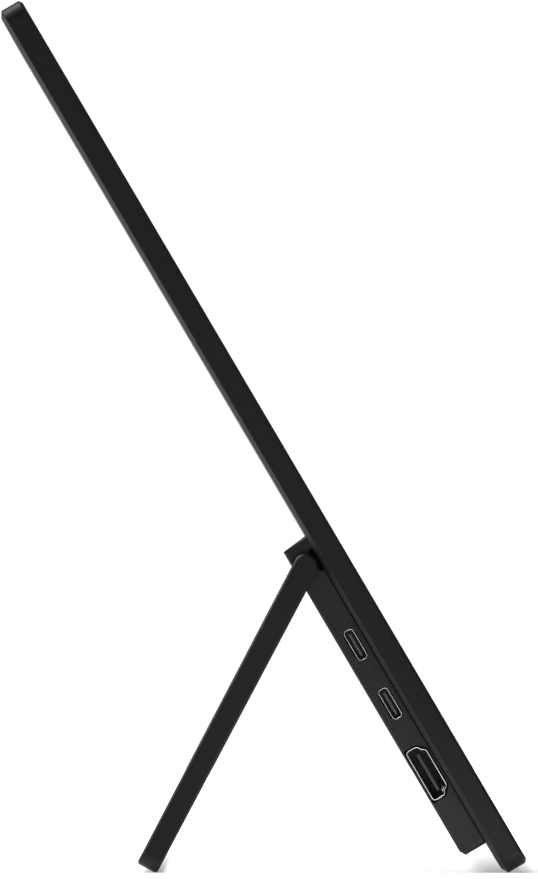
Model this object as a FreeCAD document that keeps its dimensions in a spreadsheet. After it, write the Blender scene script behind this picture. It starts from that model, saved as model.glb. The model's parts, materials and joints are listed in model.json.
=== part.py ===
"""Portable monitor: a thin leaning case with a socket box on its back and a fold-out bail stand.

Every piece is drawn in the case frame: x to the viewer's right, y from the screen's face to the back, z up
along the case from its bottom edge. The case then leans back, and the bail, drawn folded with its hinge at
the origin, swings open until its foot meets the table. Lengths are millimetres and angles are degrees.
"""
import os
import re

import FreeCAD
import Part
import Sketcher

SIZES = {
    # Pose: the case's lean from upright.
    "lean": 30.48,
    # Case: a shallow tray, open at the screen.
    "case_corner": 4,
    "case_wall": 1.6,
    "case_back": 1,
    "back_chamfer_depth": 1.1,
    "back_chamfer_width": 1.85,
    "front_chamfer_depth": 0.75,
    "front_chamfer_width": 1,
    # Screen stack, from the front rim to the tray's floor.
    "rim_step": 0.15,
    "bezel_thickness": 1.2,
    "cell_thickness": 1,
    "film_thickness": 0.4,
    "guide_thickness": 1.3,
    "reflector_thickness": 0.2,
    "plate_thickness": 0.4,
    "tape_thickness": 1.35,
    # Picture area and the borders round it.
    "active_width": 409,
    "active_height": 230,
    "side_border": 6.5,
    "top_border": 7.3,
    "cell_border": 3,
    "bezel_reveal": 0.5,
    "bezel_gap": 0.15,
    "frame_wall": 1.2,
    "film_gap": 0.2,
    "tape_width": 8,
    "head_gap": 0.4,
    # Light bar along the guide's bottom edge.
    "strip_thickness": 0.4,
    "led_length": 3.5,
    "led_height": 0.6,
    "led_depth": 1,
    "led_pitch": 12,
    # Boards: all of one thickness, held off the case on standoffs.
    "board_thickness": 0.8,
    "board_lift": 0.75,
    "board_edge_gap": 0.5,
    "board_inset": 4,
    # Timing board in the case's chin, with its chips and the flexes from the cell.
    "timing_inset": 16,
    "timing_margin": 21,
    "timing_height": 13,
    "timing_bottom": 5,
    "timing_gap": 4,
    "timing_chip_width": 10,
    "timing_chip_height": 6,
    "timing_chip_thickness": 1,
    "timing_chip_inset": 2,
    "flex_width": 26,
    "flex_thickness": 0.2,
    "flex_pitch": 34,
    "flex_gap": 12,
    "flex_landing": 2,
    # Flat cables and their sockets.
    "cable_thickness": 0.3,
    "cable_socket_height": 1.2,
    "cable_socket_depth": 4,
    "cable_socket_margin": 2,
    "display_cable_inset": 26,
    "display_cable_width": 18,
    "display_socket_inset": 3,
    "display_socket_rise": 6.5,
    "slot_rise": 2,
    "slot_gap": 0.35,
    "key_cable_width": 8,
    "key_cable_rise": 26.5,
    "key_socket_inset": 1,
    "lead_width": 2,
    "lead_thickness": 0.8,
    "lead_margin": 1,
    "lead_rise": 3.5,
    "lead_socket_rise": 3.5,
    "left_lead_x": 30,
    "right_lead_x": 11,
    # Box on the case's back.
    "box_width": 412,
    "box_bottom": 9.65,
    "box_corner": 1.4,
    "lid_gap": 0.1,
    "cover_wall": 1,
    "cover_back": 0.7,
    "cover_chamfer": 0.45,
    "top_slope_height": 0.8,
    "bottom_slope_height": 1.6,
    "bottom_slope_depth": 1,
    "post_gap": 4,
    "post_inset": 5.4,
    "post_radius": 2.4,
    "post_timing_gap": 0.4,
    "post_board_gap": 0.9,
    # Main board, its chip, heat pad, shield can and small components.
    "main_width": 165,
    "main_speaker_gap": 2,
    "main_screw_x": 20,
    "chip_x": 62,
    "chip_rise": 31.5,
    "chip_side": 14,
    "chip_thickness": 1.2,
    "pad_side": 12,
    "can_width": 34,
    "can_height": 30,
    "can_depth": 2.6,
    "can_wall": 0.3,
    "coil_side": 6,
    "coil_thickness": 2.5,
    "coil_pitch": 9,
    "coil_rise": 51.5,
    "capacitor_side": 3,
    "capacitor_thickness": 1.6,
    "capacitor_pitch": 5.5,
    "capacitor_rise": 8.5,
    "component_x": 33.5,
    # Oval data sockets.
    "socket_step": 0.1,
    "socket_gap": 0.15,
    "liner_gap": 0.05,
    "data_width": 8.94,
    "data_height": 3.2,
    "data_wall": 0.3,
    "data_length": 7.3,
    "data_base": 1.5,
    "data_margin": 9.86,
    "data_pitch": 17.9,
    "data_video_gap": 8.62,
    "data_tongue_width": 6.7,
    "data_tongue_thickness": 0.7,
    "data_tongue_step": 0.6,
    "data_contact_width": 0.25,
    "data_contact_length": 3.4,
    "data_contact_pitch": 0.5,
    "contact_thickness": 0.06,
    "contact_step": 0.4,
    # Video socket, with two chamfered corners towards the case.
    "video_width": 14.9,
    "video_height": 5.4,
    "video_chamfer": 2,
    "video_wall": 0.35,
    "video_length": 11,
    "video_base": 2,
    "video_sink": 0.55,
    "video_lip": 0.2,
    "video_lip_length": 0.35,
    "video_margin": 1.55,
    "video_tongue_width": 11,
    "video_tongue_thickness": 0.9,
    "video_tongue_step": 0.9,
    "video_contact_width": 0.45,
    "video_contact_length": 5.5,
    "video_contact_pitch": 1,
    # Side board with the key switches and the headphone jack.
    "side_width": 16,
    "side_speaker_gap": 0.5,
    "side_edge_gap": 2,
    "jack_rise": 12,
    "jack_length": 12,
    "jack_width": 6.6,
    "jack_height": 4.7,
    "jack_radius": 1.8,
    "jack_collar_radius": 2.3,
    "jack_end": 1,
    "jack_gap": 0.15,
    # Keys in the box's side wall, each over a switch on the side board.
    "power_key_rise": 57,
    "plus_key_rise": 45,
    "minus_key_rise": 35,
    "key_length": 8,
    "key_height": 2.4,
    "key_gap": 0.2,
    "key_flange": 0.6,
    "key_seat": 0.05,
    "key_push": 0.6,
    "key_travel": 0.4,
    "key_rest_gap": 0.1,
    "switch_width": 4,
    "switch_length": 3,
    "switch_height": 3,
    "plunger_width": 1.6,
    "plunger_length": 0.6,
    # Speakers behind slots in the cover's back.
    "speaker_inset": 5.5,
    "speaker_rise": 2.3,
    "speaker_width": 45,
    "speaker_height": 10.5,
    "speaker_gap": 0.5,
    "speaker_floor": 1,
    "speaker_rim": 1.8,
    "cone_thickness": 0.4,
    "cone_inset": 0.6,
    "magnet_width": 14,
    "magnet_height": 5.5,
    "magnet_depth": 3,
    "grille_slot_width": 1.2,
    "grille_slot_height": 6.5,
    "grille_pitch": 3,
    # Fasteners: small screws for the boards, cover and hinges, and the standoffs' rings.
    "screw_radius": 0.9,
    "screw_hole_radius": 1,
    "screw_head_radius": 1.8,
    "screw_head_height": 0.8,
    "screw_bite": 4,
    "standoff_radius": 2.1,
    # Hinge: bail arms outside the box, shafts through its side walls.
    "hinge_drop": 6.9,
    "shaft_radius": 1.5,
    "shaft_run": 0.05,
    "shaft_seat": 2.2,
    "shaft_press": 0.02,
    "shaft_tail": 0.4,
    "notch_height": 6.4,
    "notch_depth": 1.3,
    "notch_gap": 0.35,
    "barrel_radius": 2.3,
    "barrel_length": 14,
    "barrel_gap": 0.3,
    "cheek_thickness": 0.8,
    "cheek_margin": 0.5,
    "neck_height": 3.6,
    "bracket_thickness": 1,
    "bracket_gap": 1.7,
    "bracket_drop": 8.4,
    "bracket_rise": 2.6,
    "bracket_screw_drop": 5.6,
    "bracket_screw_inset": 3.5,
    "washer_radius": 2.1,
    "washer_thickness": 0.4,
    "washer_gap": 0.05,
    "nut_radius": 2.2,
    "nut_thickness": 2,
    # Bail: two arms and a foot bar that closes under the box when it is folded.
    "arm_gap": 0.5,
    "arm_thickness": 3,
    "arm_width": 6.5,
    "foot_width": 5.9,
    "arm_chamfer": 0.55,
    "bar_thickness": 2,
    "bar_gap": 1,
    "bail_corner": 3.5,
    "bail_inner_corner": 1.5,
}

FORMULAS = {
    # Depths of the screen stack's faces.
    "cell_front": "rim_step + bezel_thickness",
    "film_front": "cell_front + cell_thickness",
    "guide_front": "film_front + film_thickness",
    "reflector_front": "guide_front + guide_thickness",
    "plate_front": "reflector_front + reflector_thickness",
    "tape_front": "plate_front + plate_thickness",
    "case_floor": "tape_front + tape_thickness",
    "slab_depth": "case_floor + case_back",
    # Outlines of the screen's layers and of the case round them. The chin is as tall as its board needs.
    "timing_top": "timing_bottom + timing_height",
    "cell_bottom": "timing_top + timing_gap",
    "active_bottom": "cell_bottom + cell_border",
    "case_width": "active_width + 2 * side_border",
    "case_height": "active_bottom + active_height + top_border",
    "cell_width": "active_width + 2 * cell_border",
    "cell_height": "active_height + 2 * cell_border",
    "film_inset": "frame_wall + film_gap",
    "film_width": "cell_width - 2 * film_inset",
    "film_height": "cell_height - 2 * film_inset",
    "strip_bottom": "cell_bottom + frame_wall",
    "led_bottom": "strip_bottom + strip_thickness",
    "guide_bottom": "led_bottom + led_height + film_gap",
    "timing_front": "case_floor - board_thickness",
    "slot_z": "timing_top + slot_rise",
    # Box, as deep as the taller of its sockets needs, and the boards and speakers in it.
    "board_front": "slab_depth + board_lift",
    "board_back": "board_front + board_thickness",
    "cover_floor": "board_back + max(jack_height; video_height - video_sink) + lid_gap",
    "box_back": "cover_floor + cover_back",
    "box_depth": "box_back - slab_depth",
    "box_half": "box_width / 2",
    "inner_half": "box_half - cover_wall",
    "speaker_x": "inner_half - speaker_inset - speaker_width",
    "speaker_bottom": "box_bottom + speaker_rise",
    "speaker_depth": "cover_floor - slab_depth - cone_thickness - speaker_gap",
    "post_x": "speaker_x - post_gap",
    "post_low_z": "timing_top + screw_head_radius + post_timing_gap",
    "speaker_top": "speaker_bottom + speaker_height",
    "main_bottom": "max(speaker_top + main_speaker_gap; post_low_z + post_radius + post_board_gap)",
    "side_bottom": "speaker_top + side_speaker_gap",
    # Sockets, keys and jack, one above the other along the boards' edges.
    "video_z": "main_bottom + video_margin + video_width / 2",
    "data_lower_z": "video_z + video_width / 2 + data_video_gap + data_width / 2",
    "data_upper_z": "data_lower_z + data_pitch",
    "main_top": "data_upper_z + data_width / 2 + data_margin",
    "main_height": "main_top - main_bottom",
    "side_height": "main_top - side_bottom",
    "jack_z": "side_bottom + jack_rise",
    "power_key_z": "side_bottom + power_key_rise",
    "plus_key_z": "side_bottom + plus_key_rise",
    "minus_key_z": "side_bottom + minus_key_rise",
    "hinge_z": "main_top + bracket_gap + bracket_drop",
    "hinge_depth": "cover_floor - slab_depth - barrel_gap - barrel_radius",
    "box_top": "hinge_z + hinge_drop",
    "cable_y": "board_back + (cable_socket_height - cable_thickness) / 2",
    "lead_y": "board_back + (cable_socket_height - lead_thickness) / 2",
    "lead_socket_z": "main_bottom + lead_socket_rise",
    "timing_cable_y": "timing_front - (cable_socket_height + cable_thickness) / 2",
    "main_left": "board_edge_gap - inner_half",
    "main_right": "main_left + main_width",
    "side_right": "inner_half - side_edge_gap",
    "side_left": "side_right - side_width",
    "display_cable_x": "main_right - display_cable_inset",
    "timing_left": "display_cable_x - timing_inset",
    "flex_x": "display_cable_x + display_cable_width / 2 + flex_gap + flex_width / 2 + flex_pitch",
    "timing_width": "flex_x + flex_pitch + flex_width / 2 + timing_margin - timing_left",
    "display_socket_z": "main_bottom + display_socket_rise",
    "key_cable_z": "main_bottom + key_cable_rise",
    "socket_mouth": "socket_step - box_half",
    "data_y": "board_back + data_height / 2",
    "video_y": "board_back - video_sink + video_height / 2",
    "jack_y": "board_back + jack_height / 2",
    "key_y": "board_back + switch_height / 2",
    "key_flange_x": "inner_half - key_seat - key_flange",
    "plunger_tip": "key_flange_x - key_push - key_travel - key_rest_gap",
    # Hinge and bail.
    "hinge_y": "slab_depth + hinge_depth",
    "barrel_end": "inner_half - barrel_gap",
    "barrel_start": "barrel_end - barrel_length",
    "shaft_end": "box_half + arm_gap + shaft_seat",
    "shaft_start": "barrel_start - washer_gap - 2 * washer_thickness - nut_thickness - shaft_tail",
    "bail_width": "box_width + 2 * (arm_gap + arm_thickness)",
    "bail_length": "hinge_z - box_bottom + bar_gap + bar_thickness",
    # Stance: the case stands on its back chamfer's lower edge, and the bail's foot comes down to that level.
    "case_rise": "(slab_depth - back_chamfer_depth) * sin(lean)",
    "case_reach": "front_chamfer_width + case_height - back_chamfer_width",
    "case_shift": "-(case_reach * sin(lean) + slab_depth * cos(lean)) / 2",
    "hinge_height": "hinge_z * cos(lean) - hinge_y * sin(lean) + case_rise",
    "foot_half": "foot_width / 2 - arm_chamfer",
    "foot_reach": "sqrt(bail_length^2 + foot_half^2)",
    "leg_slope": "(asin(hinge_height / foot_reach) - atan(foot_half / bail_length)) / 1 deg",
    "open_angle": "lean + 90 - leg_slope",
}

document = FreeCAD.newDocument("PortableMonitor")
sizes = document.addObject("Spreadsheet::Sheet", "Sizes")
derived = document.addObject("Spreadsheet::Sheet", "Derived")
nodes = []
spots = {}


def led(text):
    """The formula with each name led to its sheet: lean becomes Sizes.lean."""
    def lead(found):
        word = found.group(0)
        if word in SIZES:
            return "Sizes." + word
        if word in FORMULAS:
            return "Derived." + word
        return word
    return re.sub(r"[a-z][a-z_]*", lead, text)


for row, (alias, number) in enumerate(SIZES.items(), start=1):
    sizes.set(f"A{row}", alias.replace("_", " "))
    sizes.set(f"B{row}", str(number))
    sizes.setAlias(f"B{row}", alias)
for row, (alias, text) in enumerate(FORMULAS.items(), start=1):
    derived.set(f"A{row}", alias.replace("_", " "))
    derived.set(f"B{row}", "=" + led(text).replace("Derived.", ""))
    derived.setAlias(f"B{row}", alias)
document.recompute()


def value(text):
    """The number that a formula has now."""
    return float(sizes.evalExpression(led(text)))


def spot(x, y, z, turn="rotation(vector(1; 0; 0); 0)"):
    """A placement formula at x, y, z."""
    return f"placement(vector({x}; {y}; {z}); {turn})"


def bind(thing, **formulas):
    """Ties properties to formulas."""
    for name, text in formulas.items():
        thing.setExpression(name, led(text))


def put(thing, place):
    """Places a solid in its own frame and remembers where, for seat."""
    spots[thing.Name] = place
    bind(thing, Placement=place)
    return thing


def block(name, x, y, z, width, depth, height):
    """A box from its low corner, with its sides along x, y and z."""
    solid = document.addObject("Part::Box", name)
    bind(solid, Length=width, Width=depth, Height=height)
    return put(solid, spot(x, y, z))


def rod(name, axis, x, y, z, radius, length):
    """A cylinder from the middle of its low end, along x or y."""
    turns = {"x": "rotation(vector(0; 1; 0); 90)", "y": "rotation(vector(1; 0; 0); -90)"}
    solid = document.addObject("Part::Cylinder", name)
    bind(solid, Radius=radius, Height=length)
    return put(solid, spot(x, y, z, turns[axis]))


def joined(name, pieces):
    """One solid from touching pieces."""
    solid = document.addObject("Part::MultiFuse", name)
    solid.Shapes = pieces
    solid.Refine = True
    return solid


def gathered(name, pieces):
    """Separate solids kept in one group."""
    group = document.addObject("Part::Compound", name)
    group.Links = pieces
    return group


def trimmed(name, base, tools):
    """The base with the tools cut away."""
    solid = document.addObject("Part::Cut", name)
    solid.Base = base
    solid.Tool = tools[0] if len(tools) == 1 else gathered(name + "_tools", tools)
    return solid


def seat(piece, label, frame="CaseFrame"):
    """Names a finished piece and carries it from its own frame to the standing pose."""
    place = frame + ".Placement"
    if piece.Name in spots:
        place += " * " + spots[piece.Name]
    bind(piece, Placement=place)
    piece.Label = label
    nodes.append(piece)


def edges(feature, test):
    """Names of the feature's edges that pass a test of their bounding box."""
    document.recompute()
    found = enumerate(feature.Shape.Edges, start=1)
    return [f"Edge{index}" for index, edge in found if test(edge.BoundBox)]


def near(first, second):
    """Whether two lengths agree."""
    return abs(first - second) < 1e-4


def along_y(bound):
    """Whether an edge runs straight back."""
    return near(bound.XLength, 0) and near(bound.ZLength, 0)


def dressed(body, kind, name, base, test, size):
    """A fillet or chamfer of one size on the base's edges that pass the test."""
    feature = body.newObject("PartDesign::" + kind, name)
    feature.Base = (base, edges(base, test))
    bind(feature, **{"Radius" if kind == "Fillet" else "Size": size})
    return feature


def bevelled(body, name, base, test, depth, width):
    """A chamfer on the base's edges that pass the test, of one size backwards and another across."""
    feature = body.newObject("PartDesign::Chamfer", name)
    feature.Base = (base, edges(base, test))
    feature.ChamferType = "Two distances"
    bind(feature, Size=depth, Size2=width)
    return feature


def body_block(body, kind, name, x, y, z, width, depth, height):
    """A box added to a body or cut out of it."""
    feature = body.newObject(f"PartDesign::{kind}Box", name)
    bind(feature, Length=width, Width=depth, Height=height, Placement=spot(x, y, z))
    return feature


def rounded_plate(name, x, y, z, width, depth, height, corner):
    """A body of one plate whose upright corners are rounded, and its last feature."""
    body = document.addObject("PartDesign::Body", name)
    plate = body_block(body, "Additive", name + "_plate", x, y, z, width, depth, height)
    return body, dressed(body, "Fillet", name + "_corners", plate, along_y, corner)


def side_x(side, start, length):
    """The low x of something that starts at a distance from the middle on one side."""
    return start if side == "right" else f"-({start}) - ({length})"


case_frame = document.addObject("App::Placement", "CaseFrame")
bind(case_frame, Placement=spot("0", "case_shift", "case_rise", "rotation(vector(1; 0; 0); -lean)"))
stand_frame = document.addObject("App::Placement", "StandFrame")
opened = spot("0", "hinge_y", "hinge_z", "rotation(vector(1; 0; 0); open_angle)")
bind(stand_frame, Placement="CaseFrame.Placement * " + opened)

# Places, across and up, that several pieces share.
cover_posts = [
    ("-post_x", "post_low_z"),
    ("post_x", "post_low_z"),
    ("-post_x", "box_top - post_inset"),
    ("0", "box_top - post_inset"),
    ("post_x", "box_top - post_inset"),
]
board_holes = [
    ("main_left + main_screw_x", "main_bottom + board_inset"),
    ("main_left + main_screw_x", "main_bottom + main_height - board_inset"),
    ("main_right - board_inset", "main_bottom + board_inset"),
    ("main_right - board_inset", "main_bottom + main_height - board_inset"),
    ("side_left + board_inset", "side_bottom + board_inset"),
    ("side_left + board_inset", "side_bottom + side_height - board_inset"),
]
bracket_holes = [
    (f"{sign}({x})", "hinge_z - bracket_screw_drop")
    for sign in ("-", "+")
    for x in ("barrel_end - bracket_screw_inset", "barrel_start + bracket_screw_inset")
]
key_rows = [("power_key", "power_key_z"), ("plus_key", "plus_key_z"), ("minus_key", "minus_key_z")]


def through_back(name, places, low, length, radius):
    """Rods along y at the places."""
    return [rod(f"{name}_{index}", "y", x, low, z, radius, length) for index, (x, z) in enumerate(places)]


# Rear tray: the slab's case, chamfered round its back and front edges, with holes for the box's fastenings.
tray, tray_corners = rounded_plate(
    "tray_shell", "-case_width / 2", "0", "0", "case_width", "slab_depth", "case_height", "case_corner")
slab_depth = value("slab_depth")
tray_back = bevelled(
    tray, "tray_back_edge", tray_corners, lambda bound: near(bound.YMin, slab_depth), "back_chamfer_depth",
    "back_chamfer_width")
bevelled(
    tray, "tray_front_edge", tray_back, lambda bound: near(bound.YMax, 0), "front_chamfer_depth",
    "front_chamfer_width")
tray_hollow, _ = rounded_plate(
    "tray_hollow", "case_wall - case_width / 2", "0", "case_wall", "case_width - 2 * case_wall", "case_floor",
    "case_height - 2 * case_wall", "case_corner - case_wall")
tray_holes = through_back(
    "tray_hole", cover_posts + board_holes + bracket_holes, "case_floor", "case_back", "screw_hole_radius")
tray_slot = block(
    "tray_slot", "display_cable_x - display_cable_width / 2 - slot_gap", "case_floor", "slot_z - slot_gap",
    "display_cable_width + 2 * slot_gap", "case_back", "cable_thickness + 2 * slot_gap")
tray_open = trimmed("tray_open", tray, [tray_hollow])
seat(trimmed("rear_tray", tray_open, tray_holes + [tray_slot]), "rear_tray")

# Front bezel: a frame just below the tray's rim that covers the cell's border and the chin.
bezel, _ = rounded_plate(
    "front_bezel", "case_wall + bezel_gap - case_width / 2", "rim_step", "case_wall + bezel_gap",
    "case_width - 2 * (case_wall + bezel_gap)", "bezel_thickness",
    "case_height - 2 * (case_wall + bezel_gap)", "case_corner - case_wall - bezel_gap")
body_block(
    bezel, "Subtractive", "bezel_window", "-active_width / 2 - bezel_reveal", "rim_step",
    "active_bottom - bezel_reveal", "active_width + 2 * bezel_reveal", "bezel_thickness",
    "active_height + 2 * bezel_reveal")
seat(bezel, "front_bezel")

# Screen layers: cell, films, light guide, reflector and back plate, with the frame round the lit ones.
cell_outline = ("-cell_width / 2", "cell_bottom", "cell_width", "cell_height")


def layer(name, outline, front, depth):
    """A flat layer with an outline of left, bottom, width and height."""
    left, bottom, width, height = outline
    return block(name, left, front, bottom, width, depth, height)


film_outline = ("-film_width / 2", "cell_bottom + film_inset", "film_width", "film_height")
guide_outline = (
    "-film_width / 2", "guide_bottom", "film_width",
    "cell_bottom + cell_height - film_inset - guide_bottom")
seat(layer("lcd_cell", cell_outline, "cell_front", "cell_thickness"), "lcd_cell")
seat(layer("optical_films", film_outline, "film_front", "film_thickness"), "optical_films")
seat(layer("light_guide", guide_outline, "guide_front", "guide_thickness"), "light_guide")
seat(layer("reflector_sheet", film_outline, "reflector_front", "reflector_thickness"), "reflector_sheet")
seat(layer("panel_back_plate", cell_outline, "plate_front", "plate_thickness"), "panel_back_plate")
frame_outside = layer("frame_outside", cell_outline, "film_front", "plate_front - film_front")
frame_inside = block(
    "frame_inside", "frame_wall - cell_width / 2", "film_front", "strip_bottom",
    "cell_width - 2 * frame_wall", "plate_front - film_front", "cell_height - 2 * frame_wall")
seat(trimmed("panel_frame", frame_outside, [frame_inside]), "panel_frame")

# Light bar: a strip along the frame's bottom with a row of small lamps that shine into the guide.
seat(block(
    "led_bar", "-film_width / 2", "guide_front", "strip_bottom", "film_width", "guide_thickness",
    "strip_thickness"), "led_bar")
led_count = int(value("film_width / led_pitch"))
led_row = [
    block(
        f"led_{index}", f"({index} - {(led_count - 1) / 2}) * led_pitch - led_length / 2",
        "guide_front + (guide_thickness - led_depth) / 2", "led_bottom", "led_length", "led_depth",
        "led_height")
    for index in range(led_count)]
seat(gathered("led_packages", led_row), "led_packages")

# Panel tape: four foam strips that hold the panel to the tray's floor, punched where a hinge screw's head lies.
tape_strips = []
for side, holes in (("left", bracket_holes[:2]), ("right", bracket_holes[2:])):
    strip = block(
        f"tape_{side}", side_x(side, "cell_width / 2 - tape_width", "tape_width"), "tape_front", "cell_bottom",
        "tape_width", "tape_thickness", "cell_height")
    head_holes = through_back(
        f"tape_hole_{side}", holes, "tape_front", "tape_thickness", "screw_head_radius + head_gap")
    tape_strips.append(trimmed(f"tape_punched_{side}", strip, head_holes))
for name, bottom in (("tape_low", "cell_bottom"), ("tape_high", "cell_bottom + cell_height - tape_width")):
    tape_strips.append(block(
        name, "tape_width + film_gap - cell_width / 2", "tape_front", bottom,
        "cell_width - 2 * (tape_width + film_gap)", "tape_thickness", "tape_width"))
seat(gathered("panel_tape", tape_strips), "panel_tape")

# Timing board on the tray's floor below the panel, with its chips and the bent flexes from the cell.
seat(block(
    "timing_board", "timing_left", "timing_front", "timing_bottom", "timing_width",
    "board_thickness", "timing_height"), "timing_board")
flex_places = [f"flex_x + {step} * flex_pitch" for step in (-1, 0, 1)]
timing_chips = []
flexes = []
for index, x in enumerate(flex_places):
    timing_chips.append(block(
        f"timing_chip_{index}", f"{x} - timing_chip_width / 2", "timing_front - timing_chip_thickness",
        "timing_bottom + timing_chip_inset", "timing_chip_width", "timing_chip_thickness",
        "timing_chip_height"))
    flex_front = "cell_front + (cell_thickness - flex_thickness) / 2"
    flex_low = "timing_top - flex_landing"
    hanging = block(
        f"flex_hanging_{index}", f"{x} - flex_width / 2", flex_front, flex_low, "flex_width",
        "flex_thickness", f"cell_bottom - ({flex_low})")
    landing = block(
        f"flex_landing_{index}", f"{x} - flex_width / 2", flex_front, flex_low, "flex_width",
        f"timing_front - ({flex_front})", "flex_thickness")
    flexes.append(joined(f"flex_{index}", [hanging, landing]))
seat(gathered("timing_chips", timing_chips), "timing_chips")
seat(gathered("panel_flexes", flexes), "panel_flexes")

# Display cable: a flat cable from the timing board, through the tray's slot, to the main board.
timing_socket_z = "timing_bottom + display_socket_inset"
cable_left = "display_cable_x - display_cable_width / 2"
cable_runs = [
    block(
        "cable_in_case", cable_left, "timing_cable_y", f"{timing_socket_z} + cable_socket_depth",
        "display_cable_width", "cable_thickness",
        f"slot_z + cable_thickness - ({timing_socket_z} + cable_socket_depth)"),
    block(
        "cable_through_slot", cable_left, "timing_cable_y", "slot_z", "display_cable_width",
        "cable_y + cable_thickness - timing_cable_y", "cable_thickness"),
    block(
        "cable_in_box", cable_left, "cable_y", "slot_z", "display_cable_width", "cable_thickness",
        "display_socket_z - slot_z")]
seat(joined("display_cable", cable_runs), "display_cable")

# Key cable: a flat cable across the box, from the side board to the main board.
key_cable_start = "main_right - key_socket_inset"
key_cable_end = "side_left + key_socket_inset"
seat(block(
    "key_cable", key_cable_start, "cable_y", "key_cable_z - key_cable_width / 2",
    f"{key_cable_end} - ({key_cable_start})", "cable_thickness", "key_cable_width"), "key_cable")

# Speaker leads: twin flat wires, a short one up from the left speaker and a long bent one from the right.
left_lead = "main_left + left_lead_x"
right_lead = "main_right - right_lead_x"
speaker_top = "speaker_bottom + speaker_height"
lead_z = "speaker_bottom + lead_rise"
short_lead = block(
    "short_lead", f"{left_lead} - lead_width / 2", "lead_y", speaker_top, "lead_width", "lead_thickness",
    f"lead_socket_z - ({speaker_top})")
long_lead = joined("long_lead", [
    block(
        "lead_across", f"{right_lead} - lead_width / 2", "lead_y", lead_z,
        f"speaker_x + lead_width / 2 - ({right_lead})", "lead_thickness", "lead_width"),
    block(
        "lead_up", f"{right_lead} - lead_width / 2", "lead_y", lead_z, "lead_width", "lead_thickness",
        f"lead_socket_z - ({lead_z})")])
seat(gathered("speaker_leads", [short_lead, long_lead]), "speaker_leads")

# Cable sockets: a small block at each end of both flat cables, and one for each speaker lead.
wide_socket = "display_cable_width + 2 * cable_socket_margin"
tall_socket = "key_cable_width + 2 * cable_socket_margin"
key_socket_z = "key_cable_z - key_cable_width / 2 - cable_socket_margin"
cable_sockets = [
    block(
        "timing_socket", f"display_cable_x - ({wide_socket}) / 2", "timing_front - cable_socket_height",
        timing_socket_z, wide_socket, "cable_socket_height", "cable_socket_depth"),
    block(
        "display_socket", f"display_cable_x - ({wide_socket}) / 2", "board_back", "display_socket_z",
        wide_socket, "cable_socket_height", "cable_socket_depth"),
    block(
        "main_key_socket", f"{key_cable_start} - cable_socket_depth", "board_back", key_socket_z,
        "cable_socket_depth", "cable_socket_height", tall_socket),
    block(
        "side_key_socket", key_cable_end, "board_back", key_socket_z, "cable_socket_depth",
        "cable_socket_height", tall_socket)]
for name, x in (("left_lead_socket", left_lead), ("right_lead_socket", right_lead)):
    cable_sockets.append(block(
        name, f"{x} - lead_width / 2 - lead_margin", "board_back", "lead_socket_z",
        "lead_width + 2 * lead_margin", "cable_socket_height", "cable_socket_depth"))
seat(gathered("cable_sockets", cable_sockets), "cable_sockets")


def oval_bar(name, x, y, z, length, width, height):
    """A bar along x with a flat-sided oval section, wide along z."""
    flat = f"({width}) - ({height})"
    middle = block(
        name + "_middle", x, f"{y} - ({height}) / 2", f"{z} - ({flat}) / 2", length, height, flat)
    low = rod(name + "_low", "x", x, y, f"{z} - ({flat}) / 2", f"({height}) / 2", length)
    high = rod(name + "_high", "x", x, y, f"{z} + ({flat}) / 2", f"({height}) / 2", length)
    return joined(name, [middle, low, high])


def video_bar(name, x, length, grow):
    """A bar along x with the video socket's section, grown all round, chamfered towards the case."""
    width = f"(video_width + 2 * ({grow}))"
    height = f"(video_height + 2 * ({grow}))"
    body = document.addObject("PartDesign::Body", name)
    bar = body_block(
        body, "Additive", name + "_bar", x, f"video_y - {height} / 2", f"video_z - {width} / 2", length,
        height, width)
    front = value(f"video_y - {height} / 2")
    dressed(
        body, "Chamfer", name + "_slopes", bar,
        lambda bound: near(bound.YMax, front) and near(bound.ZLength, 0),
        f"video_chamfer + (2 - sqrt(2)) * ({grow})")
    return body


def contact_rows(name, x, y, z, count, pitch, width, length, thickness):
    """Two rows of contacts, one on each face of a tongue of the given thickness."""
    rows = []
    faces = {"front": f"{y} - ({thickness}) / 2 - contact_thickness", "back": f"{y} + ({thickness}) / 2"}
    for face, low in faces.items():
        for index in range(count):
            step = index - (count - 1) / 2
            rows.append(block(
                f"{name}_{face}_{index}", x, low, f"{z} + ({step}) * {pitch} - {width} / 2", length,
                "contact_thickness", width))
    return rows


# Data sockets: two drawn steel shells on the main board, each with a moulded tongue and two rows of contacts.
data_contact_count = 12
data_openings = []
data_contacts = []
for place in ("upper", "lower"):
    z = f"data_{place}_z"
    shell = f"data_socket_shell_{place}"
    hollow = ("data_width - 2 * data_wall", "data_height - 2 * data_wall")
    outside = oval_bar(
        shell + "_outside", "socket_mouth", "data_y", z, "data_length", "data_width", "data_height")
    inside = oval_bar(shell + "_inside", "socket_mouth", "data_y", z, "data_length", *hollow)
    seat(trimmed(shell, outside, [inside]), shell)
    liner = [f"{size} - 2 * liner_gap" for size in hollow]
    base = oval_bar(
        f"data_base_{place}", "socket_mouth + data_length - data_base", "data_y", z, "data_base", *liner)
    tongue = block(
        f"data_tongue_{place}", "socket_mouth + data_tongue_step", "data_y - data_tongue_thickness / 2",
        f"{z} - data_tongue_width / 2", "data_length - data_base - data_tongue_step",
        "data_tongue_thickness", "data_tongue_width")
    seat(joined(f"data_socket_tongue_{place}", [base, tongue]), f"data_socket_tongue_{place}")
    data_contacts += contact_rows(
        f"data_contact_{place}", "socket_mouth + data_tongue_step + contact_step", "data_y", z,
        data_contact_count, "data_contact_pitch", "data_contact_width", "data_contact_length",
        "data_tongue_thickness")
    data_openings.append(oval_bar(
        f"data_opening_{place}", "-box_half", "data_y", z, "cover_wall", "data_width + 2 * socket_gap",
        "data_height + 2 * socket_gap"))
seat(gathered("data_socket_contacts", data_contacts), "data_socket_contacts")

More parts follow.
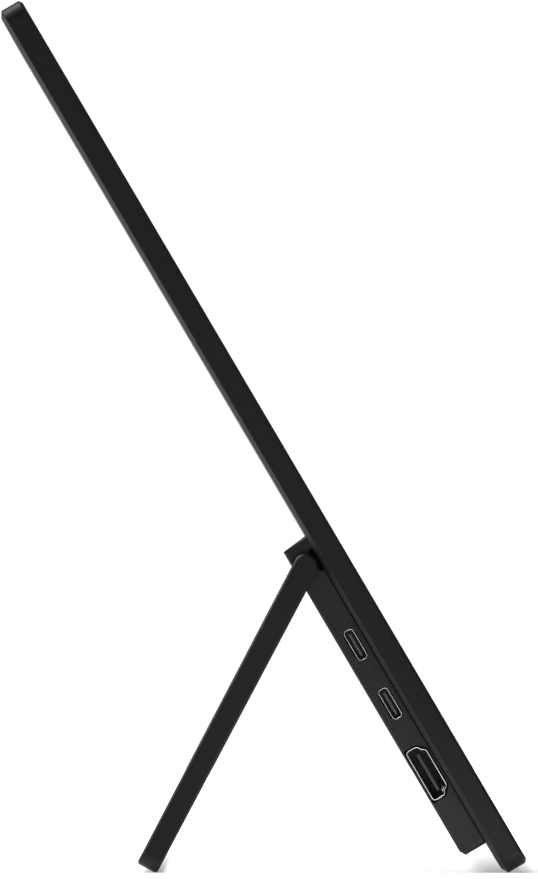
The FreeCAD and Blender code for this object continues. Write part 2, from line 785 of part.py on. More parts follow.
# Video socket: a folded steel shell with a flared lip, sunk into a cut in the main board.
video_contact_count = 10
video_outside = joined("video_outside", [
    video_bar("video_tube", "socket_mouth", "video_length", "0"),
    video_bar("video_flare", "socket_mouth", "video_lip_length", "video_lip")])
video_inside = video_bar("video_inside", "socket_mouth", "video_length", "-video_wall")
seat(trimmed("video_socket_shell", video_outside, [video_inside]), "video_socket_shell")
video_base = video_bar(
    "video_back", "socket_mouth + video_length - video_base", "video_base", "-video_wall - liner_gap")
video_tongue = block(
    "video_tongue", "socket_mouth + video_tongue_step", "video_y - video_tongue_thickness / 2",
    "video_z - video_tongue_width / 2", "video_length - video_base - video_tongue_step",
    "video_tongue_thickness", "video_tongue_width")
seat(joined("video_socket_tongue", [video_base, video_tongue]), "video_socket_tongue")
video_contacts = contact_rows(
    "video_contact", "socket_mouth + video_tongue_step + contact_step", "video_y", "video_z",
    video_contact_count, "video_contact_pitch", "video_contact_width", "video_contact_length",
    "video_tongue_thickness")
seat(gathered("video_socket_contacts", video_contacts), "video_socket_contacts")
video_opening = video_bar("video_opening", "-box_half", "cover_wall", "video_lip + socket_gap")

# Main board, cut away round the sunk video socket.
main_plate = block(
    "main_plate", "main_left", "board_front", "main_bottom", "main_width", "board_thickness", "main_height")
main_cut = block(
    "main_cut", "main_left", "board_front", "video_z - video_width / 2 - socket_gap",
    "socket_mouth + video_length + socket_gap - main_left", "board_thickness",
    "video_width + 2 * socket_gap")
main_holes = through_back(
    "main_hole", board_holes[:4], "board_front", "board_thickness", "screw_hole_radius")
seat(trimmed("main_board", main_plate, [main_cut] + main_holes), "main_board")

# Side board, which carries the key switches and the headphone jack.
side_plate = block(
    "side_plate", "side_left", "board_front", "side_bottom", "side_width", "board_thickness", "side_height")
side_holes = through_back(
    "side_hole", board_holes[4:], "board_front", "board_thickness", "screw_hole_radius")
seat(trimmed("side_board", side_plate, side_holes), "side_board")

# Standoffs: rings between the tray and the boards. The boards' screws pass through them into the tray.
standoffs = []
board_screws = []
for index, (x, z) in enumerate(board_holes):
    ring = rod(f"standoff_ring_{index}", "y", x, "slab_depth", z, "standoff_radius", "board_lift")
    bore = rod(f"standoff_bore_{index}", "y", x, "slab_depth", z, "screw_hole_radius", "board_lift")
    standoffs.append(trimmed(f"standoff_{index}", ring, [bore]))
    head = rod(f"board_head_{index}", "y", x, "board_back", z, "screw_head_radius", "screw_head_height")
    shank = rod(
        f"board_shank_{index}", "y", x, "case_floor", z, "screw_radius", "board_back - case_floor")
    board_screws.append(joined(f"board_screw_{index}", [head, shank]))
seat(gathered("board_standoffs", standoffs), "board_standoffs")
seat(gathered("board_screws", board_screws), "board_screws")

# Scaler chip under a folded shield can, with a heat pad that fills the room between them.
chip_centre = ("main_left + chip_x", "main_bottom + chip_rise")


def on_board(name, width, height, low, depth):
    """A block centred on the chip's place on the main board."""
    x, z = chip_centre
    return block(name, f"{x} - {width} / 2", low, f"{z} - {height} / 2", width, depth, height)


seat(on_board("scaler_chip", "chip_side", "chip_side", "board_back", "chip_thickness"), "scaler_chip")
seat(on_board(
    "heat_pad", "pad_side", "pad_side", "board_back + chip_thickness",
    "can_depth - can_wall - chip_thickness"), "heat_pad")
can_outside = on_board("can_outside", "can_width", "can_height", "board_back", "can_depth")
can_inside = on_board(
    "can_inside", "(can_width - 2 * can_wall)", "(can_height - 2 * can_wall)", "board_back",
    "can_depth - can_wall")
seat(trimmed("shield_can", can_outside, [can_inside]), "shield_can")

# Board components: a row of coils above the can and a row of capacitors below it.
coil_count = 4
capacitor_count = 6
components = []
for part, count in (("coil", coil_count), ("capacitor", capacitor_count)):
    for index in range(count):
        components.append(block(
            f"{part}_{index}", f"main_left + component_x + {index} * {part}_pitch", "board_back",
            f"main_bottom + {part}_rise - {part}_side / 2", f"{part}_side", f"{part}_thickness",
            f"{part}_side"))
seat(gathered("board_components", components), "board_components")

# Headphone jack: a moulded block with a blind bore and a collar that reaches the box's side face.
jack_start = "inner_half - jack_gap - jack_length"
jack_body = block(
    "jack_body", jack_start, "board_back", "jack_z - jack_width / 2", "jack_length", "jack_height",
    "jack_width")
jack_collar = rod(
    "jack_collar", "x", "inner_half - jack_gap", "jack_y", "jack_z", "jack_collar_radius",
    "cover_wall + jack_gap")
jack_bore = rod(
    "jack_bore", "x", f"{jack_start} + jack_end", "jack_y", "jack_z", "jack_radius",
    "jack_length - jack_end + jack_gap + cover_wall")
jack_solid = joined("jack_solid", [jack_body, jack_collar])
seat(trimmed("headphone_jack", jack_solid, [jack_bore]), "headphone_jack")
jack_opening = rod(
    "jack_opening", "x", "inner_half", "jack_y", "jack_z", "jack_collar_radius + jack_gap", "cover_wall")

# Keys: flush caps in the side wall, kept in by a flange, each with a push nub that faces a switch's plunger.
key_openings = []
switches = []


def key_block(name, x, z, grow, length):
    """A block centred on a key, grown all round its cap's outline."""
    return block(
        name, x, f"key_y - key_height / 2 - ({grow})", f"{z} - key_length / 2 - ({grow})", length,
        f"key_height + 2 * ({grow})", f"key_length + 2 * ({grow})")


for name, z in key_rows:
    cap = key_block(name + "_cap", "key_flange_x", z, "0", "box_half - key_flange_x")
    flange = key_block(name + "_flange", "key_flange_x", z, "key_flange", "key_flange")
    nub = block(
        name + "_nub", "key_flange_x - key_push", "key_y - plunger_width / 2", f"{z} - plunger_width / 2",
        "key_push", "plunger_width", "plunger_width")
    seat(joined(name, [cap, flange, nub]), name)
    key_openings.append(key_block(name + "_opening", "inner_half", z, "key_gap", "cover_wall"))
    switch_body = block(
        name + "_switch_body", "plunger_tip - plunger_length - switch_length", "board_back",
        f"{z} - switch_width / 2", "switch_length", "switch_height", "switch_width")
    plunger = block(
        name + "_plunger", "plunger_tip - plunger_length", "key_y - plunger_width / 2",
        f"{z} - plunger_width / 2", "plunger_length", "plunger_width", "plunger_width")
    switches.append(joined(name + "_switch", [switch_body, plunger]))
seat(gathered("key_switches", switches), "key_switches")

# Speakers: a frame on the tray's back, with a magnet on its floor and a cone over its rim, behind slots.
grille_count = 11
grille_slots = []
for side in ("left", "right"):
    start = side_x(side, "speaker_x", "speaker_width")
    middle = f"{start} + speaker_width / 2"
    case = block(
        f"speaker_case_{side}", start, "slab_depth", "speaker_bottom", "speaker_width", "speaker_depth",
        "speaker_height")
    well = block(
        f"speaker_well_{side}", f"{start} + speaker_rim", "slab_depth + speaker_floor",
        "speaker_bottom + speaker_rim", "speaker_width - 2 * speaker_rim", "speaker_depth - speaker_floor",
        "speaker_height - 2 * speaker_rim")
    seat(trimmed(f"speaker_frame_{side}", case, [well]), f"speaker_frame_{side}")
    seat(block(
        f"speaker_magnet_{side}", f"{middle} - magnet_width / 2", "slab_depth + speaker_floor",
        "speaker_bottom + (speaker_height - magnet_height) / 2", "magnet_width", "magnet_depth",
        "magnet_height"), f"speaker_magnet_{side}")
    seat(block(
        f"speaker_cone_{side}", f"{start} + cone_inset", "slab_depth + speaker_depth",
        "speaker_bottom + cone_inset", "speaker_width - 2 * cone_inset", "cone_thickness",
        "speaker_height - 2 * cone_inset"), f"speaker_cone_{side}")
    for index in range(grille_count):
        step = index - (grille_count - 1) / 2
        grille_slots.append(block(
            f"grille_{side}_{index}", f"{middle} + ({step}) * grille_pitch - grille_slot_width / 2",
            "cover_floor", "speaker_bottom + (speaker_height - grille_slot_height) / 2",
            "grille_slot_width", "cover_back", "grille_slot_height"))

# Box cover: a shallow lid with sloped top and bottom edges, posts for its screws, and openings for sockets and keys.
cover, cover_corners = rounded_plate(
    "cover_shell", "-box_half", "slab_depth", "box_bottom", "box_width", "box_depth",
    "box_top - box_bottom", "box_corner")
box_back = value("box_back")
dressed(
    cover, "Chamfer", "cover_back_edge", cover_corners, lambda bound: near(bound.YMin, box_back),
    "cover_chamfer")
cover_hollow, _ = rounded_plate(
    "cover_hollow", "-inner_half", "slab_depth", "box_bottom + cover_wall", "2 * inner_half",
    "box_depth - cover_back", "box_top - top_slope_height - box_bottom - 2 * cover_wall",
    "box_corner - cover_wall")
cover_open = trimmed("cover_open", cover, [cover_hollow])
slopes = []
for end, depth, place in (
        ("bottom", "bottom_slope_depth", (
            "-box_half", "box_back - bottom_slope_depth", "box_bottom", "rotation(vector(1; 1; 1); 120)")),
        ("top", "box_depth", ("box_half", "slab_depth", "box_top", "rotation(vector(-1; -1; 1); 120)"))):
    slope = document.addObject("Part::Wedge", f"{end}_slope")
    bind(slope, Xmin="0", Ymin="0", Zmin="0", X2min=depth, Z2min="0")
    bind(slope, Xmax=depth, Ymax=f"{end}_slope_height", Zmax="box_width", X2max=depth, Z2max="box_width")
    put(slope, spot(*place))
    slopes.append(slope)
posts = through_back("cover_post", cover_posts, "slab_depth", "cover_floor - slab_depth", "post_radius")
post_bores = through_back("post_bore", cover_posts, "slab_depth", "screw_bite", "screw_hole_radius")
shaft_notches = [
    block(
        f"{part}_notch_{side}", side_x(side, "inner_half", "cover_wall"), "slab_depth",
        f"hinge_z - ({height}) / 2", "cover_wall", depth, height)
    for side in ("left", "right")
    for part, depth, height in (
        ("case", "notch_depth", "notch_height"),
        ("shaft", "hinge_depth + shaft_radius + notch_gap", "2 * (shaft_radius + notch_gap)"))]
cover_openings = data_openings + [video_opening, jack_opening] + key_openings + shaft_notches
cover_solid = joined("cover_with_posts", [cover_open] + posts)
seat(trimmed("box_cover", cover_solid, cover_openings + post_bores + grille_slots + slopes), "box_cover")

# Cover screws: driven from inside the tray into the cover's posts before the panel goes in.
cover_screws = []
hinge_screws = []
for group, name, places, bite in (
        (cover_screws, "cover", cover_posts, "screw_bite"),
        (hinge_screws, "hinge", bracket_holes, "bracket_thickness")):
    for index, (x, z) in enumerate(places):
        head = rod(
            f"{name}_head_{index}", "y", x, "case_floor - screw_head_height", z, "screw_head_radius",
            "screw_head_height")
        shank = rod(f"{name}_shank_{index}", "y", x, "case_floor", z, "screw_radius", f"case_back + {bite}")
        group.append(joined(f"{name}_screw_{index}", [head, shank]))
seat(gathered("cover_screws", cover_screws), "cover_screws")

# Hinge screws: the same way into the brackets.
seat(gathered("hinge_screws", hinge_screws), "hinge_screws")

# Hinge brackets: a foot plate on the tray's back with a neck and a barrel that the shaft turns in, and
# a cheek at the barrel's outer end that fills the cover's notch from inside.
for side in ("left", "right"):
    start = side_x(side, "barrel_start", "barrel_length")
    foot = block(
        f"bracket_foot_{side}", start, "slab_depth", "hinge_z - bracket_drop", "barrel_length",
        "bracket_thickness", "bracket_drop + bracket_rise")
    neck = block(
        f"bracket_neck_{side}", start, "slab_depth", "hinge_z - neck_height / 2", "barrel_length",
        "hinge_depth", "neck_height")
    barrel = rod(
        f"bracket_barrel_{side}", "x", start, "hinge_y", "hinge_z", "barrel_radius", "barrel_length")
    bore = rod(
        f"bracket_bore_{side}", "x", start, "hinge_y", "hinge_z", "shaft_radius + shaft_run",
        "barrel_length")
    screw_holes = through_back(
        f"bracket_hole_{side}", bracket_holes[:2] if side == "left" else bracket_holes[2:], "slab_depth",
        "bracket_thickness", "screw_hole_radius")
    cheek = block(
        f"bracket_cheek_{side}", side_x(side, "barrel_end - cheek_thickness", "cheek_thickness"), "slab_depth",
        "hinge_z - notch_height / 2 - cheek_margin", "cheek_thickness", "hinge_depth + barrel_radius",
        "notch_height + 2 * cheek_margin")
    bracket = joined(f"bracket_{side}", [foot, neck, barrel, cheek])
    seat(trimmed(f"hinge_bracket_{side}", bracket, [bore] + screw_holes), f"hinge_bracket_{side}")

# Hinge shafts, seated in the bail's hubs, with two spring washers and a nut inside each barrel's far end.
washers = []
nuts = []
for side in ("left", "right"):
    shaft_length = "shaft_end - shaft_start"
    shaft = rod(
        f"hinge_shaft_{side}", "x", side_x(side, "shaft_start", shaft_length), "0", "0", "shaft_radius",
        shaft_length)
    seat(shaft, f"hinge_shaft_{side}", "StandFrame")
    for index in (1, 2):
        start = side_x(side, f"barrel_start - washer_gap - {index} * washer_thickness", "washer_thickness")
        disc = rod(f"washer_disc_{side}_{index}", "x", start, "0", "0", "washer_radius", "washer_thickness")
        hole = rod(
            f"washer_hole_{side}_{index}", "x", start, "0", "0", "shaft_radius + shaft_press",
            "washer_thickness")
        washers.append(trimmed(f"washer_{side}_{index}", disc, [hole]))
    start = side_x(
        side, "barrel_start - washer_gap - 2 * washer_thickness - nut_thickness", "nut_thickness")
    hexagon = document.addObject("Part::Prism", f"nut_hexagon_{side}")
    hexagon.Polygon = 6
    bind(hexagon, Circumradius="nut_radius", Height="nut_thickness")
    put(hexagon, spot(start, "0", "0", "rotation(vector(0; 1; 0); 90)"))
    hole = rod(f"nut_hole_{side}", "x", start, "0", "0", "shaft_radius + shaft_press", "nut_thickness")
    nuts.append(trimmed(f"nut_{side}", hexagon, [hole]))
seat(gathered("hinge_washers", washers), "hinge_washers", "StandFrame")
seat(gathered("hinge_nuts", nuts), "hinge_nuts", "StandFrame")

# Stand bail: a flat U of two tapered arms with round hubs and a thin foot bar, chamfered round its outside.
bail = document.addObject("PartDesign::Body", "bail")
profile = bail.newObject("Sketcher::SketchObject", "arm_profile")
profile.AttachmentSupport = [
    (plane, "") for plane in bail.Origin.OriginFeatures if plane.Role == "YZ_Plane"]
profile.MapMode = "FlatFace"
bind(profile, **{"AttachmentOffset.Base.z": "-bail_width / 2"})
half_width = value("arm_width / 2")
half_foot = value("foot_width / 2")
foot_z = -value("bail_length")
hub_left = FreeCAD.Vector(-half_width, 0, 0)
hub_right = FreeCAD.Vector(half_width, 0, 0)
foot_left = FreeCAD.Vector(-half_foot, foot_z, 0)
foot_right = FreeCAD.Vector(half_foot, foot_z, 0)
profile.addGeometry(Part.Arc(hub_right, FreeCAD.Vector(0, half_width, 0), hub_left))
profile.addGeometry(Part.LineSegment(hub_left, foot_left))
profile.addGeometry(Part.LineSegment(foot_left, foot_right))
profile.addGeometry(Part.LineSegment(foot_right, hub_right))
hub, left_side, foot_end, right_side = range(4)
start_point, end_point, centre_point = range(1, 4)
axis_index = -1
origin = (axis_index, start_point)
for first, second in ((hub, left_side), (left_side, foot_end), (foot_end, right_side), (right_side, hub)):
    profile.addConstraint(Sketcher.Constraint("Coincident", first, end_point, second, start_point))
profile.addConstraint(Sketcher.Constraint("Coincident", hub, centre_point, *origin))
profile.addConstraint(Sketcher.Constraint("PointOnObject", hub, start_point, axis_index))
profile.addConstraint(Sketcher.Constraint("PointOnObject", hub, end_point, axis_index))
radius = profile.addConstraint(Sketcher.Constraint("Radius", hub, half_width))
reach = profile.addConstraint(Sketcher.Constraint("DistanceY", foot_end, start_point, *origin, -foot_z))
profile.addConstraint(Sketcher.Constraint("Horizontal", foot_end))
left_half = profile.addConstraint(Sketcher.Constraint("DistanceX", foot_end, start_point, *origin, half_foot))
right_half = profile.addConstraint(Sketcher.Constraint("DistanceX", *origin, foot_end, end_point, half_foot))
bind(profile, **{f"Constraints[{radius}]": "arm_width / 2", f"Constraints[{reach}]": "bail_length"})
bind(profile, **{f"Constraints[{half}]": "foot_width / 2" for half in (left_half, right_half)})
plate = bail.newObject("PartDesign::Pad", "bail_plate")
plate.Profile = profile
bind(plate, Length="bail_width")
gap = body_block(
    bail, "Subtractive", "bail_gap", "arm_thickness - bail_width / 2", "-arm_width / 2",
    "bar_thickness - bail_length", "bail_width - 2 * arm_thickness", "arm_width",
    "bail_length - bar_thickness + arm_width / 2")
outer_x = value("bail_width / 2")
inner_x = value("bail_width / 2 - arm_thickness")
bar_z = value("bar_thickness - bail_length")
rounded = dressed(
    bail, "Fillet", "bail_corners", gap,
    lambda bound: along_y(bound) and near(abs(bound.XMin), outer_x) and near(bound.ZMin, foot_z),
    "bail_corner")
eased = dressed(
    bail, "Fillet", "bail_inner_corners", rounded,
    lambda bound: along_y(bound) and near(abs(bound.XMin), inner_x) and near(bound.ZMin, bar_z),
    "bail_inner_corner")


def on_rim(bound):
    """Whether an edge runs round the bail's outside."""
    outside = near(max(bound.XMax, -bound.XMin), outer_x) or near(bound.ZMin, foot_z)
    return outside and not along_y(bound)


dressed(bail, "Chamfer", "bail_rim", eased, on_rim, "arm_chamfer")
hub_seats = [
    rod(
        f"hub_seat_{side}", "x", side_x(side, "bail_width / 2 - arm_thickness", "shaft_seat"), "0", "0",
        "shaft_radius + shaft_press", "shaft_seat")
    for side in ("left", "right")]
seat(trimmed("stand_bail", bail, hub_seats), "stand_bail", "StandFrame")

document.recompute()
faults = [thing.Name for thing in document.Objects if {"Invalid", "Error"} & set(thing.State)]
faults += [node.Label for node in nodes if node.Shape.isNull() or not node.Shape.isValid()]
if faults:
    raise ValueError("failed pieces: " + ", ".join(faults))
os.makedirs("parts", exist_ok=True)
for node in nodes:
    node.Shape.exportStep(f"parts/{node.Label}.step")
print(len(nodes), "pieces, bail open by", round(value("open_angle"), 3), "degrees")
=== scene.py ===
"""Looks of a portable monitor: a thin leaning slab with a socket box on its back and a fold-out bail stand.

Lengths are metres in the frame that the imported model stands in.
There x runs across the screen, y away from the viewer and z up.
"""
import json
import math

import bmesh
import bpy
import numpy as np
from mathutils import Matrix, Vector


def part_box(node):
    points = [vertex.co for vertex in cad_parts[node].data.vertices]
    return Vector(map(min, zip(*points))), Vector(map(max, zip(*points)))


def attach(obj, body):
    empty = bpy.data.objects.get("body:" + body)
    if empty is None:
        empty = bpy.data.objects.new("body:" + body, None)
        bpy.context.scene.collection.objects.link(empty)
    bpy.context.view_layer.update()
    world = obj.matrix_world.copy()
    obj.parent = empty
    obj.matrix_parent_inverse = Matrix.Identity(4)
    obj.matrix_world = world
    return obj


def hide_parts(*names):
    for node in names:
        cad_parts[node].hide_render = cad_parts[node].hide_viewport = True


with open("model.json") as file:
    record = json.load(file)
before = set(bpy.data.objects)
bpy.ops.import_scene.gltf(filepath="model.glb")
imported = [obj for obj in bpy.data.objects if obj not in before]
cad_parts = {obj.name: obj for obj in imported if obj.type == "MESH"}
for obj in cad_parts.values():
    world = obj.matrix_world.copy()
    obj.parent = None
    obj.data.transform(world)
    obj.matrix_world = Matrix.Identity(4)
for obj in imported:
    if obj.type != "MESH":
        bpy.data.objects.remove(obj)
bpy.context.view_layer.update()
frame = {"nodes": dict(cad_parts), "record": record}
nodes = frame["nodes"]
mounts = {mount["name"]: mount for mount in frame["record"]["mounts"]}
MM = 0.001

# Rear tray: the slab's case, a shallow aluminium tray with bevelled front and back edges.
# It is blasted and anodised matt black, and its edges are broken by hand.
# They catch a thin line of light.
BACKWARD = np.array(mounts["back_face"]["axis"])
UPWARD = np.array([0.0, -BACKWARD[2], BACKWARD[1]])
ACROSS = np.array([1.0, 0.0, 0.0])
TRAY_EDGE = 0.12 * MM
TRAY_RIM = 3.0 * MM
MERGE_REACH = 0.001 * MM
FLAT_ANGLE = math.radians(0.3)
SHARP_ANGLE = math.radians(20)
EDGE_STEPS = 3
EVEN = (1.0, 1.0, 1.0)
NOISE_LOW, NOISE_HIGH = 0.3, 0.7
COLOUR_DRIFT = 40 * MM
GRAIN_GLOSS = 0.07


def finish(name, colour, roughness, metal=0.0, gloss=0.5):
    """A new material, its nodes and its surface, with what is the same all over set on the surface."""
    material = bpy.data.materials.new(name)
    material.use_nodes = True
    surface = material.node_tree.nodes["Principled BSDF"]
    surface.inputs["Base Color"].default_value = (*colour, 1.0)
    surface.inputs["Roughness"].default_value = roughness
    surface.inputs["Metallic"].default_value = metal
    surface.inputs["Specular IOR Level"].default_value = gloss
    return material, material.node_tree, surface


def placed(tree, stretch=EVEN, lean=0.0):
    """The piece's own coordinates, stretched along each axis and turned round x by the lean."""
    place = tree.nodes.new("ShaderNodeTexCoord")
    mapping = tree.nodes.new("ShaderNodeMapping")
    mapping.inputs["Scale"].default_value = stretch
    mapping.inputs["Rotation"].default_value = (lean, 0.0, 0.0)
    tree.links.new(place.outputs["Object"], mapping.inputs["Vector"])
    return mapping.outputs["Vector"]


def lumps(tree, size, detail=2.0, stretch=EVEN):
    """Cloudy noise from 0 to 1 whose lumps are about as long as the size."""
    clouds = tree.nodes.new("ShaderNodeTexNoise")
    clouds.inputs["Scale"].default_value = 1 / size
    clouds.inputs["Detail"].default_value = detail
    tree.links.new(placed(tree, stretch), clouds.inputs["Vector"])
    return clouds.outputs["Fac"]


def ranged(tree, source, low, high, start=NOISE_LOW, end=NOISE_HIGH):
    """The source's range from start to end carried to the range from low to high."""
    carry = tree.nodes.new("ShaderNodeMapRange")
    carry.inputs["From Min"].default_value = start
    carry.inputs["From Max"].default_value = end
    carry.inputs["To Min"].default_value = low
    carry.inputs["To Max"].default_value = high
    tree.links.new(source, carry.inputs["Value"])
    return carry.outputs["Result"]


def raised(tree, surface, height, depth):
    """Lifts the surface by the depth where the height is 1."""
    bump = tree.nodes.new("ShaderNodeBump")
    bump.inputs["Distance"].default_value = depth
    tree.links.new(height, bump.inputs["Height"])
    tree.links.new(bump.outputs["Normal"], surface.inputs["Normal"])


def tinted(tree, surface, source, *colours):
    """Colours the surface by the source, through the colours at even steps over the noise's range."""
    ramp = tree.nodes.new("ShaderNodeValToRGB")
    stops = ramp.color_ramp.elements
    stops[0].position = NOISE_LOW
    stops[1].position = NOISE_HIGH
    for step in np.linspace(NOISE_LOW, NOISE_HIGH, len(colours))[1:-1]:
        stops.new(step)
    for stop, colour in zip(stops, colours):
        stop.color = (*colour, 1.0)
    tree.links.new(source, ramp.inputs["Fac"])
    tree.links.new(ramp.outputs["Color"], surface.inputs["Base Color"])


def blasted(name, dark, light, roughness, grain, depth, gloss=0.5):
    """A surface with a fine grain in its height and gloss, over slow drifts of colour."""
    material, tree, surface = finish(name, dark, roughness, gloss=gloss)
    tinted(tree, surface, lumps(tree, COLOUR_DRIFT, detail=5.0), dark, light)
    speckle = lumps(tree, grain, detail=3.0)
    grained = ranged(tree, speckle, roughness - GRAIN_GLOSS, roughness + GRAIN_GLOSS)
    tree.links.new(grained, surface.inputs["Roughness"])
    raised(tree, surface, speckle, depth)
    return material


def in_case(points):
    """The points' places across the case, up along it and back through it, from the frame's origin."""
    return points @ np.stack([ACROSS, UPWARD, BACKWARD], axis=1)


def read(group, word, kind, width=1):
    """One value of each member of a mesh's group, as an array."""
    values = np.empty(len(group) * width, kind)
    group.foreach_get(word, values)
    return values.reshape(-1, width) if width > 1 else values


def case_box(name):
    """The least and the greatest places in the case of a node's points."""
    places = in_case(read(nodes[name].data.vertices, "co", np.float32, 3))
    return places.min(axis=0), places.max(axis=0)


def added(name, mesh, body, material):
    """A new piece of the mesh, smooth, with its material, body and slot."""
    mesh.materials.clear()
    mesh.materials.append(material)
    mesh.polygons.foreach_set("use_smooth", np.ones(len(mesh.polygons), bool))
    piece = bpy.data.objects.new(name, mesh)
    bpy.context.scene.collection.objects.link(piece)
    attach(piece, body)
    return piece


def eased(name, body, material, width, outer):
    """A copy of a node whose outer sharp edges are rounded off.

    Its points are merged and its flat faces made whole. The outer function gives each point, by its place in
    the case, the share of the width that its edges are rounded by. An edge whose two faces meet at more than
    the sharp angle is rounded where both its ends have the same share. Other such edges stay sharp.
    """
    work = bmesh.new()
    work.from_mesh(nodes[name].data)
    bmesh.ops.remove_doubles(work, verts=work.verts, dist=MERGE_REACH)
    bmesh.ops.dissolve_limit(work, angle_limit=FLAT_ANGLE, verts=work.verts, edges=work.edges)
    mesh = bpy.data.meshes.new(name + "_eased")
    work.to_mesh(mesh)
    work.free()
    points = read(mesh.vertices, "co", np.float32, 3)
    ends = read(mesh.edges, "vertices", np.int32, 2)
    sides = read(mesh.loops, "edge_index", np.int32)
    faces = np.repeat(np.arange(len(mesh.polygons)), read(mesh.polygons, "loop_total", np.int32))
    normals = read(mesh.polygons, "normal", np.float32, 3)
    order = np.argsort(sides, kind="stable")
    counts = np.bincount(sides, minlength=len(ends))
    starts = np.cumsum(counts) - counts
    first = normals[faces[order[starts]]]
    second = normals[faces[order[np.minimum(starts + 1, len(order) - 1)]]]
    bent = (counts == 2) & ((first * second).sum(axis=1) < math.cos(SHARP_ANGLE))
    shares = outer(in_case(points))[ends]
    share = bent * shares[:, 0] * (shares[:, 0] == shares[:, 1])
    weights = mesh.attributes.new("bevel_weight_edge", "FLOAT", "EDGE")
    weights.data.foreach_set("value", share.astype(np.float32))
    sharp = mesh.attributes.new("sharp_edge", "BOOLEAN", "EDGE")
    sharp.data.foreach_set("value", bent & (share == 0))
    piece = added(name + "_eased", mesh, body, material)
    bevel = piece.modifiers.new("broken_edges", "BEVEL")
    bevel.limit_method = "WEIGHT"
    bevel.width = width
    bevel.segments = EDGE_STEPS
    bevel.use_clamp_overlap = False
    shading = piece.modifiers.new("even_faces", "WEIGHTED_NORMAL")
    shading.keep_sharp = True
    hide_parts(name)


case_black = blasted(
    "case_black", dark=(0.0045, 0.0045, 0.0048), light=(0.0065, 0.0065, 0.0068), roughness=0.46,
    grain=0.22 * MM, depth=0.012 * MM, gloss=0.26)
tray_low, tray_high = case_box("rear_tray")


def on_tray_rim(places):
    """Whether a place is near the tray's outline."""
    inset = np.minimum(places - tray_low, tray_high - places)
    return (inset[:, 0] < TRAY_RIM) | (inset[:, 1] < TRAY_RIM)


eased("rear_tray", "monitor", case_black, TRAY_EDGE, on_tray_rim)


# Front bezel: a thin moulded frame that lies in the tray just below its rim.
# Black polycarbonate with a fine spark texture, clipped and taped in after the panel.
def coat(material, *names):
    """Puts a material on the named nodes."""
    for name in names:
        nodes[name].data.materials.clear()
        nodes[name].data.materials.append(material)


bezel_black = blasted(
    "bezel_black", dark=(0.009, 0.009, 0.0095), light=(0.0125, 0.0125, 0.013), roughness=0.55,
    grain=0.3 * MM, depth=0.02 * MM, gloss=0.45)
coat(bezel_black, "front_bezel")

# Display cell: two bonded sheets of thin glass under a matt polariser.
# It is off, so it shows as a blue black with a soft haze in its gloss.
HAZE_SIZE = 0.09 * MM
HAZE_DEPTH = 0.004 * MM
GLASS_SMOOTH, GLASS_HAZY = 0.24, 0.34
GLASS_DRIFT = 90 * MM
screen_glass, glass_tree, glass_surface = finish(
    "screen_glass", colour=(0.004, 0.0045, 0.006), roughness=0.28)
haze = lumps(glass_tree, HAZE_SIZE)
glass_gloss = ranged(glass_tree, haze, GLASS_SMOOTH, GLASS_HAZY)
glass_tree.links.new(glass_gloss, glass_surface.inputs["Roughness"])
glass_tone = lumps(glass_tree, GLASS_DRIFT)
tinted(glass_tree, glass_surface, glass_tone, (0.0036, 0.004, 0.0052), (0.0046, 0.0052, 0.007))
raised(glass_tree, glass_surface, haze, HAZE_DEPTH)
coat(screen_glass, "lcd_cell")

# Lit layers behind the cell: films, light guide and reflector, pressed from sheet and stacked in a frame.
# White satin films, a clear acrylic guide with rows of printed dots, and a glossy white reflector.
GUIDE_DOT_PITCH = 0.9 * MM
GUIDE_DOT_SCATTER = 0.15
GUIDE_DOT_DEPTH = 0.03 * MM
GUIDE_CLEARNESS = 0.55


def cells(tree, size, scatter=1.0):
    """The outputs of a pattern of cells about as large as the size, in rows that the scatter breaks up."""
    pattern = tree.nodes.new("ShaderNodeTexVoronoi")
    pattern.inputs["Scale"].default_value = 1 / size
    pattern.inputs["Randomness"].default_value = scatter
    tree.links.new(placed(tree), pattern.inputs["Vector"])
    return pattern.outputs


film_white = blasted(
    "film_white", dark=(0.74, 0.76, 0.77), light=(0.83, 0.84, 0.85), roughness=0.38, grain=0.12 * MM,
    depth=0.006 * MM)
coat(film_white, "optical_films")
guide_clear, guide_tree, guide_surface = finish("guide_clear", colour=(0.86, 0.91, 0.92), roughness=0.12)
guide_surface.inputs["Transmission Weight"].default_value = GUIDE_CLEARNESS
guide_dots = cells(guide_tree, GUIDE_DOT_PITCH, GUIDE_DOT_SCATTER)["Distance"]
tinted(guide_tree, guide_surface, guide_dots, (0.95, 0.96, 0.96), (0.84, 0.9, 0.91))
raised(guide_tree, guide_surface, guide_dots, GUIDE_DOT_DEPTH)
coat(guide_clear, "light_guide")
reflector_white = blasted(
    "reflector_white", dark=(0.82, 0.82, 0.81), light=(0.9, 0.9, 0.89), roughness=0.3, grain=0.4 * MM,
    depth=0.01 * MM, gloss=0.7)
coat(reflector_white, "reflector_sheet")

# Panel frame and back plate: a white moulded frame round the lit layers, and a plate of galvanised steel.
# The plate's zinc has a faint spangle.
SPANGLE_GLOSS = 0.06
SPANGLE_DEPTH = 0.006 * MM
SPANGLE_LUMP = 0.25
PLATE_SPANGLE = 5 * MM


def spangled(name, dark, light, roughness, size):
    """Bare metal whose grains, about as large as the size, differ a little in colour and gloss."""
    material, tree, surface = finish(name, light, roughness, metal=1.0)
    grey = tree.nodes.new("ShaderNodeSeparateColor")
    tree.links.new(cells(tree, size)["Color"], grey.inputs["Color"])
    tinted(tree, surface, grey.outputs["Red"], dark, light)
    glinting = ranged(tree, grey.outputs["Green"], roughness - SPANGLE_GLOSS, roughness + SPANGLE_GLOSS)
    tree.links.new(glinting, surface.inputs["Roughness"])
    raised(tree, surface, lumps(tree, size * SPANGLE_LUMP, detail=3.0), SPANGLE_DEPTH)
    return material


